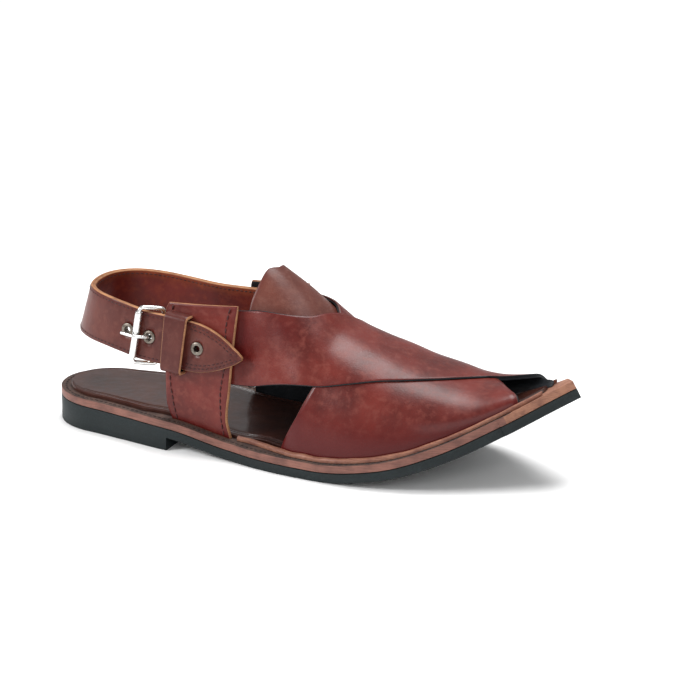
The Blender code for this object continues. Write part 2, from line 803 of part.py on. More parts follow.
def build_heel_strap(finish):
    """Back strap from the medial quarter round the heel to its pointed end, with its holes."""
    points, ups = strap_line()
    gone = 0
    rings = []
    for i, (point, up) in enumerate(zip(points, ups)):
        if i:
            gone += np.linalg.norm(point - points[i - 1])
        share = min(gone / BACK_STRAP_POINT, 1)
        half = BACK_STRAP_WIDTH / 2 * (0.06 + 0.94 * math.sin(share * math.pi / 2) ** 0.85)
        ahead = points[min(i + 1, len(points) - 1)] - points[max(i - 1, 0)]
        ahead = ahead / np.linalg.norm(ahead)
        up = up - ahead * np.dot(up, ahead)
        up = up / np.linalg.norm(up)
        out = np.cross(up, ahead)
        out = out / np.linalg.norm(out) * BACK_STRAP_THICKNESS / 2
        rings.append([point + up * half + out, point - up * half + out,
                      point - up * half - out, point + up * half - out])
    strap = loft("heel_strap", rings, finish)
    for place in hole_places():
        middle, along, up, out = frame_at(place)
        through = [(HOLE_DIAMETER / 2, -BACK_STRAP_THICKNESS), (HOLE_DIAMETER / 2, BACK_STRAP_THICKNESS)]
        tool = turned("hole", middle, along, up, out, through, finish, 14)
        combine(strap, tool, "DIFFERENCE")
    return strap


def turned(name, middle, along, up, out, profile, finish, sides=16, ring=False):
    """Solid turned about the strap's outward direction. Profile rows are radius and height."""
    rings = []
    for radius, height in profile:
        ring_points = []
        for k in range(sides):
            angle = 2 * math.pi * k / sides
            ring_points.append(middle + out * height
                               + (along * math.cos(angle) + up * math.sin(angle)) * radius)
        rings.append(ring_points)
    return loft(name, rings, finish, closed=ring)


def build_eyelet(number, place, finish):
    """Metal ring with a barrel in its hole and a domed flange on the strap."""
    middle, along, up, out = frame_at(place)
    face = BACK_STRAP_THICKNESS / 2 + CLEARANCE
    barrel = HOLE_DIAMETER / 2 - CLEARANCE
    bore = EYELET_BORE / 2
    flange = EYELET_FLANGE / 2
    profile = [
        (bore, -BACK_STRAP_THICKNESS / 2),
        (barrel, -BACK_STRAP_THICKNESS / 2),
        (barrel, face),
        (flange, face),
        (flange - 0.2 * MM, face + 0.6 * EYELET_PROUD),
        ((flange + bore) / 2, face + EYELET_PROUD),
        (bore + 0.2 * MM, face + 0.7 * EYELET_PROUD),
        (bore, face + 0.2 * EYELET_PROUD),
    ]
    return turned("eyelet_%d" % number, middle, along, up, out, profile, finish, 16, True)


def build_keeper(finish):
    """Loop over the strap, its feet on the lateral quarter."""
    ring_count = 5
    half = BACK_STRAP_WIDTH / 2 + KEEPER_SIDE_ROOM
    wall = KEEPER_WALL
    floor = -BACK_STRAP_THICKNESS / 2
    roof = BACK_STRAP_THICKNESS / 2 + KEEPER_ROOM
    soft = KEEPER_ROOM / 2
    section = [
        (-half, floor), (-half, roof - soft), (-half + soft, roof), (half - soft, roof),
        (half, roof - soft), (half, floor), (half + wall, floor), (half + wall, roof - soft),
        (half, roof + wall), (-half, roof + wall), (-half - wall, roof - soft),
        (-half - wall, floor),
    ]
    rings = []
    for i in range(ring_count):
        middle, along, up, out = frame_at(KEEPER_AT + KEEPER_LENGTH * i / (ring_count - 1))
        rings.append([middle + up * a + out * b for a, b in section])
    return loft("keeper", rings, finish)


def tube(name, path, radius, finish, sides=10, ends=True):
    """Round bar along a path of points."""
    path = [np.asarray(p, float) for p in path]
    count = len(path)
    rings = []
    side = None
    for i in range(count):
        if ends:
            ahead = path[min(i + 1, count - 1)] - path[max(i - 1, 0)]
        else:
            ahead = path[(i + 1) % count] - path[i - 1]
        ahead = ahead / np.linalg.norm(ahead)
        if side is None:
            helper = np.array((0, 0, 1.0)) if abs(ahead[2]) < 0.7 else np.array((1.0, 0, 0))
            side = np.cross(ahead, helper)
        side = side - ahead * np.dot(side, ahead)
        side = side / np.linalg.norm(side)
        other = np.cross(ahead, side)
        rings.append([path[i] + (side * math.cos(2 * math.pi * k / sides)
                                 + other * math.sin(2 * math.pi * k / sides)) * radius
                      for k in range(sides)])
    return loft(name, rings, finish, sharp=50, closed=not ends)


def buckle_places():
    """Middle of the roller and of the hinge bar, with their directions."""
    middle, _, up, out = frame_at(BUCKLE_AT)
    roller = middle + out * (BACK_STRAP_THICKNESS / 2 + CLEARANCE + ROLLER_DIAMETER / 2)
    middle, _, hinge_up, hinge_out = frame_at(HINGE_AT)
    sleeve = BUCKLE_WIRE / 2 + CLEARANCE + TAB_THICKNESS
    hinge = middle - hinge_out * (BACK_STRAP_THICKNESS / 2 + CLEARANCE + sleeve)
    bar_up = up + hinge_up
    bar_up = bar_up / np.linalg.norm(bar_up)
    return roller, hinge, bar_up, out


def build_buckle_frame(finish):
    """Bent wire frame with round corners."""
    roller, hinge, up, _ = buckle_places()
    half = BACK_STRAP_WIDTH / 2 + BUCKLE_WIRE / 2 + BUCKLE_ROOM
    across = (hinge - roller) / np.linalg.norm(hinge - roller)
    radius = BUCKLE_CORNER
    path = []
    corners = (
        (roller + up * half, across, -up),
        (roller - up * half, up, across),
        (hinge - up * half, -across, up),
        (hinge + up * half, -up, -across),
    )
    for corner, toward, away in corners:
        centre = corner + toward * radius + away * radius
        for k in range(5):
            angle = math.pi / 2 * k / 4
            path.append(centre - away * radius * math.cos(angle) - toward * radius * math.sin(angle))
    return tube("buckle_frame", path, BUCKLE_WIRE / 2, finish, 8, ends=False)


def build_buckle_roller(finish):
    """Sleeve on the buckle's outer bar."""
    roller, hinge, up, _ = buckle_places()
    across = (hinge - roller) / np.linalg.norm(hinge - roller)
    out = np.cross(up, across)
    half = (BACK_STRAP_WIDTH - ROLLER_PLAY) / 2
    bore = BUCKLE_WIRE / 2 + CLEARANCE
    outer = ROLLER_DIAMETER / 2
    profile = [(bore, -half), (outer - 0.2 * MM, -half), (outer, -half + 0.3 * MM),
               (outer, half - 0.3 * MM), (outer - 0.2 * MM, half), (bore, half)]
    return turned("buckle_roller", roller, across, out, up, profile, finish, 14, True)


def build_buckle_prong(finish):
    """Pin from the hinge bar through the second hole and over the roller."""
    roller, hinge, up, out = buckle_places()
    middle, along, _, hole_out = frame_at(SECOND_HOLE_AT)
    radius = PRONG_DIAMETER / 2
    top = roller + out * (ROLLER_DIAMETER / 2 + CLEARANCE + radius)
    top = top - up * np.dot(roller - middle, up)
    wrap = BUCKLE_WIRE / 2 + CLEARANCE + radius
    base = hinge + up * np.dot(middle - hinge, up)
    rise = hole_out * (BACK_STRAP_THICKNESS / 2 + 1.2 * radius)
    under = middle - rise
    keys = [
        base + along * 0.2 * wrap - hole_out * wrap,
        base - along * 0.8 * wrap - hole_out * 0.75 * wrap,
        (base - along * wrap + under) / 2,
        under + along * 0.2 * radius,
        middle,
        middle + rise - along * 0.3 * radius,
        top + along * ROLLER_DIAMETER / 3,
        top - along * ROLLER_DIAMETER / 2,
        top - along * PRONG_OVERHANG - out * PRONG_DIP,
    ]
    chord = chord_lengths(keys)
    steps = 26
    path = [spline(chord, keys, chord[-1] * i / steps) for i in range(steps + 1)]
    return tube("buckle_prong", path, radius, finish, 8)


def build_buckle_tab(finish):
    """Tab inside the lateral quarter. Its end folds round the hinge bar, with a slot for the pin."""
    _, hinge, up, _ = buckle_places()
    inner = BUCKLE_WIRE / 2 + CLEARANCE
    outer = inner + TAB_THICKNESS
    _, along, _, _ = frame_at(HINGE_AT)
    along = along - up * np.dot(along, up)
    along = along / np.linalg.norm(along)
    out = np.cross(along, up)
    out = out if out[1] < 0 else -out
    rows = 5
    folds = 6
    steps = 6
    levels = [TAB_WIDTH * (j / (rows - 1) - 0.5) for j in range(rows)]
    inner_grid = []
    outer_grid = []
    for k in range(folds + 1):
        angle = math.pi * k / folds
        spoke = out * math.cos(angle) - along * math.sin(angle)
        inner_grid.append([hinge + spoke * inner + up * level for level in levels])
        outer_grid.append([hinge + spoke * outer + up * level for level in levels])
    start = HINGE_AT + 1.5 * BUCKLE_WIRE
    for i in range(1, steps + 1):
        x = start + (TAB_END_AT - start) * i / steps
        middle = back_strap_height(x) - seat(x)[0]
        turns = [turn_at_height(x, middle + level, -1) for level in levels]
        near = QUARTER_STANDOFF - 1.5 * CLEARANCE
        inner_grid.append([off_last(x, turn, near) for turn in turns])
        outer_grid.append([off_last(x, turn, near - TAB_THICKNESS) for turn in turns])
    tab = shell("buckle_tab", inner_grid, outer_grid, finish)
    slot_half = PRONG_DIAMETER / 2 + PRONG_SLOT_PLAY
    corner = []
    for a in (-2 * outer, BUCKLE_WIRE - CLEARANCE):
        for b in (-1.5 * outer, 1.5 * outer):
            for c in (-slot_half, slot_half):
                corner.append(hinge + along * a + out * b + up * c)
    quads = [(0, 1, 3, 2), (4, 6, 7, 5), (0, 4, 5, 1), (2, 3, 7, 6), (0, 2, 6, 4), (1, 5, 7, 3)]
    tool = add_object("slot", corner, quads, finish)
    return combine(tab, tool, "DIFFERENCE")


def centre_on_floor(pieces):
    """Moves every piece so that the origin is under the middle of the whole."""
    corners = np.array([vert.co for piece in pieces for vert in piece.data.vertices])
    low = corners.min(axis=0)
    high = corners.max(axis=0)
    middle = (low + high) / 2
    for piece in pieces:
        for vert in piece.data.vertices:
            vert.co.x -= middle[0]
            vert.co.y -= middle[1]


def main():
    """Builds every piece of the shoe."""
    for old in list(bpy.data.objects):
        bpy.data.objects.remove(old)
    rubber = material("black_rubber", (0.012, 0.020, 0.022), 0.55)
    sole_leather = material("sole_leather", (0.235, 0.110, 0.085), 0.6)
    rand_leather = material("rand_leather", (0.300, 0.130, 0.075), 0.5)
    footbed = material("footbed_leather", (0.055, 0.024, 0.016), 0.3)
    burgundy = material("burgundy_leather", (0.205, 0.055, 0.045), 0.35)
    tongue_leather = material("tongue_leather", (0.212, 0.100, 0.082), 0.42)
    strap_leather = material("strap_leather", (0.175, 0.058, 0.042), 0.4)
    tan = material("tan_flesh_leather", (0.42, 0.21, 0.08), 0.8)
    steel = material("bright_steel", (0.80, 0.80, 0.79), 0.18, 1.0)
    ring_metal = material("eyelet_metal", (0.36, 0.33, 0.28), 0.35, 1.0)
    pieces = [
        build_outsole(rubber),
        build_midsole(sole_leather),
        build_insole(footbed),
        build_upper(burgundy),
        build_tongue(tongue_leather),
        build_quarter("quarter_lateral", -1, burgundy),
        build_quarter("quarter_medial", 1, burgundy),
        build_rand("rand_lateral", -1, rand_leather),
        build_rand("rand_medial", 1, rand_leather),
        build_heel_strap(strap_leather),
        build_keeper(burgundy),
        build_buckle_tab(tan),
        build_buckle_frame(steel),
        build_buckle_roller(steel),
        build_buckle_prong(steel),
    ]
    for number, place in enumerate(hole_places(), 1):
        pieces.append(build_eyelet(number, place, ring_metal))
    centre_on_floor(pieces)


main()
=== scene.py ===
"""Looks of a peshawari chappal, right shoe: leather, lining, stitches, rubber and steel.

Metres, +Z up, toe to +X, medial side to +Y. Every surface follows the same last as the solids.
"""
import logging
import math
from dataclasses import dataclass, field
from enum import Enum

import bmesh
import bpy
import numpy as np
from mathutils import Matrix, Vector
from mathutils.kdtree import KDTree


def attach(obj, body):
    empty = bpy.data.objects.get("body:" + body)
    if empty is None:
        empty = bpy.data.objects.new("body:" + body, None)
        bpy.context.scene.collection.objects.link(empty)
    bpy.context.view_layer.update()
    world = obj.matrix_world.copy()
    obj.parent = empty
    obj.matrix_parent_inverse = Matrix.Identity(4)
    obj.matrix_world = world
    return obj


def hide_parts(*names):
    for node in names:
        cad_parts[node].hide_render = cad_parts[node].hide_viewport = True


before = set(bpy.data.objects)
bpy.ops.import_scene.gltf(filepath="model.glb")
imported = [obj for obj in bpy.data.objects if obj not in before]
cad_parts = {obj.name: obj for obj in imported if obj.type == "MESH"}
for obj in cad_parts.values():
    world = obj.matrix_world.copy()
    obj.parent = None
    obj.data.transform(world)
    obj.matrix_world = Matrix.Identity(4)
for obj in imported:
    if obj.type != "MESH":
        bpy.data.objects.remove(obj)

MM = 0.001
LOG = logging.getLogger("chappal")
CENTRE = np.array((0.1459, -0.0040, 0.0))
Array = np.ndarray
Colour = tuple[float, float, float]
Socket = bpy.types.NodeSocket
Fed = bpy.types.NodeSocket | float | tuple
EVEN = (1, 1, 1)


class Side(Enum):
    """Side of a right shoe, as the sign of +Y."""

    LATERAL = -1
    MEDIAL = 1


class Face(Enum):
    """Material slot of a leather sheet's faces."""

    GRAIN = 0
    EDGE = 1
    FLESH = 2


# Heel rise and toe spring along the sole, each as a share of its size
RISE_AT = (0.000, 0.254, 0.373, 0.440, 0.550, 0.678, 0.780, 0.888, 1.000)
RISE_HEEL = (1.00, 0.78, 0.16, 0.00, 0.00, 0.00, 0.00, 0.00, 0.00)
RISE_TOE = (0.0, 0.0, 0.0, 0.0, 0.0, 0.095, 0.295, 0.615, 1.0)

# Half widths of the sole along its length, as shares of the ball width
OUTLINE_AT = (0.000, 0.075, 0.153, 0.254, 0.373, 0.508, 0.627, 0.729, 0.814, 0.888, 0.949, 1.000)
OUTLINE = {
    Side.LATERAL: (0.285, 0.292, 0.337, 0.402, 0.436, 0.513, 0.541, 0.496, 0.391, 0.258, 0.132, 0.056),
    Side.MEDIAL: (0.270, 0.283, 0.320, 0.362, 0.388, 0.426, 0.459, 0.440, 0.372, 0.252, 0.128, 0.070),
}

# Sections of the last: height as a share of the instep, crest aside as a share of the ball,
# squareness, and how far the ankle draws it in
LAST_AT = (0.180, 0.254, 0.340, 0.400, 0.424, 0.475, 0.520, 0.552, 0.600,
           0.654, 0.702, 0.746, 0.793, 0.837, 0.875, 0.908, 0.940)
LAST = {
    "height": (1.330, 1.220, 1.115, 1.020, 0.981, 0.861, 0.737, 0.650, 0.574,
               0.492, 0.404, 0.318, 0.220, 0.145, 0.100, 0.068, 0.050),
    "crest": (0.00, 0.00, 0.00, 0.00, 0.00, 0.01, 0.02, 0.03, 0.03,
              0.04, 0.05, 0.06, 0.06, 0.07, 0.08, 0.09, 0.10),
    "fullness": (2.10, 2.12, 2.15, 2.15, 2.15, 2.15, 2.20, 2.25, 2.30,
                 2.30, 2.30, 2.30, 2.30, 2.40, 2.50, 2.50, 2.50),
    "tuck": (1.0, 1.0, 1.0, 1.0, 0.7, 0.2, 0.0, 0.0, 0.0,
             0.0, 0.0, 0.0, 0.0, 0.0, 0.0, 0.0, 0.0),
}

# Rear and front edge of each quarter from foot to top, as shares of the length
QUARTER_LEVEL = (0.00, 0.15, 0.40, 0.70, 0.95, 1.00)
QUARTER_EDGES = {
    Side.LATERAL: ((0.262, 0.251, 0.249, 0.247, 0.246, 0.250), (0.380, 0.371, 0.376, 0.379, 0.380, 0.379)),
    Side.MEDIAL: ((0.330, 0.328, 0.328, 0.328, 0.328, 0.331), (0.448, 0.446, 0.450, 0.448, 0.446, 0.444)),
}


def interpolate(places: tuple, values: tuple, at: Array) -> Array:
    """Monotone cubic through a table's rows.

    Args:
        places: rising places of the rows.
        values: value at each row.
        at: places that are asked for.

    Returns:
        The values there. Flat stretches stay flat.
    """
    x = np.asarray(places, float)
    y = np.asarray(values, float)
    step = np.diff(x)
    slope = np.diff(y) / step
    tangent = np.zeros(len(x))
    for i in range(1, len(x) - 1):
        if slope[i - 1] * slope[i] > 0:
            first = 2 * step[i] + step[i - 1]
            second = step[i] + 2 * step[i - 1]
            tangent[i] = (first + second) / (first / slope[i - 1] + second / slope[i])
    tangent[0] = slope[0]
    tangent[-1] = slope[-1]
    q = np.clip(np.asarray(at, float), x[0], x[-1])
    k = np.clip(np.searchsorted(x, q, side="right") - 1, 0, len(step) - 1)
    t = (q - x[k]) / step[k]
    near = y[k] * (1 + 2 * t) * (1 - t) ** 2 + tangent[k] * step[k] * t * (1 - t) ** 2
    far = y[k + 1] * t * t * (3 - 2 * t) - tangent[k + 1] * step[k] * t * t * (1 - t)
    return near + far


def ramp(start: float, end: float, value: Array) -> Array:
    """Smooth step from 0 at start to 1 at end."""
    t = np.clip((np.asarray(value, float) - start) / (end - start), 0, 1)
    return t * t * (3 - 2 * t)


def bell(value: Array, middle: float, width: float) -> Array:
    """Soft bump of height 1 round a middle."""
    return np.exp(-((np.asarray(value, float) - middle) / width) ** 2)


def unit(vectors: Array) -> Array:
    """Vectors brought to length 1."""
    return vectors / np.maximum(np.linalg.norm(vectors, axis=-1, keepdims=True), 1e-12)


def ripple(points: Array, pitch: float, seed: int) -> Array:
    """Slow uneven waves through space, about -1 to 1, the same on every run.

    Args:
        points: places in metres.
        pitch: length of the main wave.
        seed: number that picks the waves' directions.

    Returns:
        One value a point.
    """
    rng = np.random.default_rng(seed)
    total = np.zeros(points.shape[:-1])
    for _ in range(6):
        direction = unit(rng.normal(size=3)) * rng.uniform(0.7, 1.9) * 2 * math.pi / pitch
        total += np.sin(points @ direction + rng.uniform(0, 2 * math.pi))
    return total / 3.2


@dataclass(frozen=True)
class Last:
    """Shape that the shoe is made on: sole curve, outline and the sections above it."""

    length: float = 295 * MM
    ball_width: float = 97.4 * MM
    heel_rise: float = 8.9 * MM
    heel_breast: float = 75 * MM
    heel_round: float = 28 * MM
    heel_overhang: float = 3.2 * MM
    heel_squareness: float = 2.1
    toe_spring: float = 49 * MM
    outsole: float = 5.1 * MM
    midsole: float = 4.2 * MM
    insole: float = 2.0 * MM
    patch_length: float = 34 * MM
    patch_step: float = 0.8 * MM
    toe_skew: float = 8.4 * MM
    clearance: float = 0.3 * MM
    instep_height: float = 89 * MM
    ankle_width: float = 62 * MM
    ledge: float = 5.6 * MM
    strap_wall: float = 2.2 * MM
    quarter_standoff: float = 3.9 * MM
    ankle_tuck: float = 4.0 * MM
    medial_tuck: float = 4.8 * MM

    @property
    def sole_top(self) -> float:
        """Height of the midsole's top over the underside."""
        return self.outsole + self.clearance + self.midsole

    @property
    def seat_height(self) -> float:
        """Height of the insole's and upper's seat over the underside."""
        return self.sole_top + self.clearance

    def underside(self, x: Array) -> Array:
        """Height of the sole's underside without the heel block.

        Args:
            x: places along the shoe.

        Returns:
            One height a place.
        """
        at = np.asarray(x) / self.length
        heel = self.heel_rise * interpolate(RISE_AT, RISE_HEEL, at)
        return heel + self.toe_spring * interpolate(RISE_AT, RISE_TOE, at)

    def on_sole(self, x: Array, height: float) -> tuple[Array, Array]:
        """Points square above the underside.

        Args:
            x: stations along the sole.
            height: distance above the underside.

        Returns:
            Their places along the shoe and their heights.
        """
        x = np.asarray(x, float)
        behind = np.maximum(x - MM, -self.heel_overhang)
        ahead = np.minimum(x + MM, self.length)
        angle = np.arctan2(self.underside(ahead) - self.underside(behind), ahead - behind)
        return x - height * np.sin(angle), self.underside(x) + height * np.cos(angle)

    def half_width(self, x: Array, side: Side) -> Array:
        """Half width of the sole at a station.

        Args:
            x: places along the shoe.
            side: side of the shoe.

        Returns:
            One half width a place.
        """
        x = np.asarray(x, float)
        full = self.ball_width * interpolate(OUTLINE_AT, OUTLINE[side], x / self.length)
        share = np.clip((self.heel_round - x) / (self.heel_round + self.heel_overhang), 0, 1)
        power = self.heel_squareness
        return full * np.maximum(1 - share ** power, 0) ** (1 / power)

    def seat(self, x: Array) -> tuple[Array, Array]:
        """Height of the upper's seat at a place, and the station that it stands on.

        Args:
            x: places along the shoe.

        Returns:
            The heights and the stations.
        """
        stations = np.linspace(0, self.length, 241)
        places, heights = self.on_sole(stations, self.seat_height)
        return np.interp(x, places, heights), np.interp(x, places, stations)

    def value(self, name: str, x: Array) -> Array:
        """Column of the last's table at a place."""
        return interpolate(LAST_AT, LAST[name], np.asarray(x) / self.length)

    def half(self, x: Array, side: Side) -> Array:
        """Half width of the last where it meets the sole.

        Args:
            x: places along the shoe.
            side: side of the shoe.

        Returns:
            One half width a place.
        """
        _, station = self.seat(x)
        ankle = self.value("tuck", x)
        tuck = self.medial_tuck if side is Side.MEDIAL else self.ankle_tuck
        wide = self.half_width(station, side) - self.ledge - self.strap_wall - tuck * ankle
        wide = np.maximum(wide, 2 * MM)
        return wide + (np.minimum(wide, self.ankle_width / 2) - wide) * ankle

    def point(self, x: Array, turn: Array) -> Array:
        """Points of the last: turn is -1 at the lateral seat, 0 on the crest, +1 at the medial seat.

        Args:
            x: places along the shoe.
            turn: turn round the last at each place.

        Returns:
            One point a place.
        """
        x, turn = np.broadcast_arrays(np.asarray(x, float), np.asarray(turn, float))
        floor, _ = self.seat(x)
        power = 2 / self.value("fullness", x)
        angle = (1 - np.minimum(np.abs(turn), 1)) * math.pi / 2
        crest = self.ball_width * self.value("crest", x)
        medial = self.half(x, Side.MEDIAL) - crest
        lateral = self.half(x, Side.LATERAL) + crest
        reach = np.where(turn > 0, medial, -lateral)
        across = crest + reach * np.maximum(np.cos(angle), 0) ** power
        up = floor + self.instep_height * self.value("height", x) * np.sin(angle) ** power
        return np.stack((x, across, up), axis=-1)

    def normal(self, x: Array, turn: Array) -> Array:
        """Outward normals of the last.

        Args:
            x: places along the shoe.
            turn: turn round the last at each place.

        Returns:
            One direction a place.
        """
        x, turn = np.broadcast_arrays(np.asarray(x, float), np.asarray(turn, float))
        dx = 0.6 * MM
        low = np.maximum(turn - 0.012, -0.999)
        high = np.minimum(turn + 0.012, 0.999)
        along = self.point(x + dx, turn) - self.point(x - dx, turn)
        across = self.point(x, high) - self.point(x, low)
        return unit(np.cross(along, across))

    def off(self, x: Array, turn: Array, offset: Array) -> Array:
        """Points outside the last, kept clear of the midsole.

        Args:
            x: places along the shoe.
            turn: turn round the last at each place.
            offset: distance out from the last.

        Returns:
            One point a place.
        """
        offset = np.asarray(offset, float)
        made = self.point(x, turn) + self.normal(x, turn) * offset[..., None]
        floor, _ = self.seat(made[..., 0])
        made[..., 2] = np.maximum(made[..., 2], floor)
        return made

    def turn_at(self, x: Array, height: Array, side: Side) -> Array:
        """Turn round the last at which it has a height above its seat.

        Args:
            x: places along the shoe.
            height: height above the seat.
            side: side of the shoe.

        Returns:
            One turn a place.
        """
        rise = self.instep_height * self.value("height", x)
        power = 2 / self.value("fullness", x)
        angle = np.arcsin(np.minimum((height / rise) ** (1 / power), 1))
        return side.value * (1 - angle / (math.pi / 2))


def place_object(name: str, data: bpy.types.ID) -> bpy.types.Object:
    """New object at the origin of the scene.

    Args:
        name: name of the object.
        data: its mesh, camera or light.

    Returns:
        The new object.
    """
    made = bpy.data.objects.new(name, data)
    bpy.context.scene.collection.objects.link(made)
    return made


def worked_mesh(piece: bpy.types.Object) -> bpy.types.Mesh:
    """Mesh of a piece with its modifiers worked in and taken off.

    Args:
        piece: object with modifiers.

    Returns:
        The new mesh.
    """
    graph = bpy.context.evaluated_depsgraph_get()
    mesh = bpy.data.meshes.new_from_object(piece.evaluated_get(graph))
    piece.modifiers.clear()
    return mesh


def add_mesh(name: str, points: Array, faces: list, kinds: list[int] | None = None,
             sharp: float = 42) -> bpy.types.Object:
    """Object from points and faces, doubles merged and faces pointing out.

    Args:
        name: name of the piece.
        points: corners in the maker's frame, whose origin is under the heel.
        faces: corner numbers of each face.
        kinds: material slot of each face.
        sharp: angle in degrees past which an edge stays hard.

    Returns:
        The new object, at the origin.
    """
    mesh = bpy.data.meshes.new(name)
    mesh.from_pydata([tuple(map(float, p)) for p in np.asarray(points) - CENTRE], [], faces)
    if kinds is not None:
        mesh.polygons.foreach_set("material_index", kinds)
    work = bmesh.new()
    work.from_mesh(mesh)
    bmesh.ops.remove_doubles(work, verts=work.verts, dist=0.004 * MM)
    bmesh.ops.dissolve_degenerate(work, edges=work.edges, dist=0.002 * MM)
    bmesh.ops.recalc_face_normals(work, faces=work.faces)
    work.to_mesh(mesh)
    work.free()
    mesh.shade_smooth()
    mesh.set_sharp_from_angle(angle=math.radians(sharp))
    return place_object(name, mesh)


def loft(name: str, rings: Array, kinds: list[int] | None = None, sharp: float = 42,
         closed: bool = False, cap_kind: int = 0) -> bpy.types.Object:
    """Solid through rings of equally many points.

    Args:
        name: name of the piece.
        rings: array of rings, points and coordinates.
        kinds: material slot of each strip between neighbouring points of a ring.
        sharp: angle in degrees past which an edge stays hard.
        closed: whether the last ring joins the first.
        cap_kind: material slot of the two end faces.

    Returns:
        The new object.
    """
    rings = np.asarray(rings, float)
    total, count = rings.shape[:2]
    kinds = kinds or [0] * count
    faces: list = []
    slots: list[int] = []
    for i in range(total if closed else total - 1):
        near = i * count
        far = (i + 1) % total * count
        for j in range(count):
            k = (j + 1) % count
            faces.append((near + j, near + k, far + k, far + j))
            slots.append(kinds[j])
    if not closed:
        faces.append(tuple(range(count)))
        faces.append(tuple(range((total - 1) * count, total * count)))
        slots += [cap_kind, cap_kind]
    return add_mesh(name, rings.reshape(-1, 3), faces, slots, sharp)


def paint(piece: bpy.types.Object, name: str, values: Array) -> None:
    """Stores one number a corner point, for the material to read."""
    layer = piece.data.attributes.new(name, "FLOAT", "POINT")
    layer.data.foreach_set("value", np.asarray(values, np.float32))


def corners(piece: bpy.types.Object) -> Array:
    """Corner points of a piece in the maker's frame.

    Args:
        piece: object whose points are read.

    Returns:
        One row of coordinates a point.
    """
    flat = np.empty(len(piece.data.vertices) * 3, np.float32)
    piece.data.vertices.foreach_get("co", flat)
    return flat.reshape(-1, 3).astype(float) + CENTRE


def sheet(name: str, inner: Array, outer: Array, bulge: float = 0.35, sharp: float = 60,
          shades: dict[str, Array] | None = None) -> bpy.types.Object:
    """Sheet of leather between two grids, its cut edge rounded.

    Args:
        name: name of the piece.
        inner: grid on the foot's side.
        outer: grid on the outside.
        bulge: how far the edge stands out, as a share of the thickness.
        sharp: angle in degrees past which an edge stays hard.
        shades: numbers for each grid point, painted on both faces.

    Returns:
        The new object, with grain, edge and flesh slots.
    """
    rows, cols = inner.shape[:2]
    count = rows * cols
    index = np.arange(count).reshape(rows, cols)
    border = list(index[0, :]) + list(index[1:, -1]) + list(index[-1, -2::-1]) + list(index[-2:0:-1, 0])
    middle = (inner + outer) / 2
    away = np.zeros_like(middle)
    away[0] += unit(middle[0] - middle[1])
    away[-1] += unit(middle[-1] - middle[-2])
    away[:, 0] += unit(middle[:, 0] - middle[:, 1])
    away[:, -1] += unit(middle[:, -1] - middle[:, -2])
    thick = np.linalg.norm(outer - inner, axis=-1, keepdims=True)
    rim = (middle + unit(away) * thick * bulge).reshape(-1, 3)[border]
    points = np.concatenate((inner.reshape(-1, 3), outer.reshape(-1, 3), rim))
    faces: list = []
    kinds: list[int] = []
    for i in range(rows - 1):
        for j in range(cols - 1):
            quad = (index[i, j], index[i, j + 1], index[i + 1, j + 1], index[i + 1, j])
            faces.append(tuple(int(k) for k in quad))
            faces.append(tuple(int(count + k) for k in reversed(quad)))
            kinds += [Face.FLESH.value, Face.GRAIN.value]
    total = len(border)
    for k in range(total):
        here, there = int(border[k]), int(border[(k + 1) % total])
        rim_here, rim_there = 2 * count + k, 2 * count + (k + 1) % total
        faces.append((here, there, rim_there, rim_here))
        faces.append((rim_here, rim_there, count + there, count + here))
        kinds += [Face.EDGE.value, Face.EDGE.value]
    made = add_mesh(name, points, faces, kinds, sharp)
    if shades:
        settled = corners(made)
        grid = middle.reshape(-1, 3)
        for word, values in shades.items():
            flat = np.asarray(values, float).ravel()
            paint(made, word, flat[nearest(settled, grid)])
    return made


def nearest(points: Array, grid: Array) -> Array:
    """Number of the grid point nearest to each point.

    Args:
        points: places that are asked for.
        grid: places that are searched.

    Returns:
        One row number a point.
    """
    tree = KDTree(len(grid))
    for k, p in enumerate(grid):
        tree.insert(p, k)
    tree.balance()
    return np.array([tree.find(p)[1] for p in points])


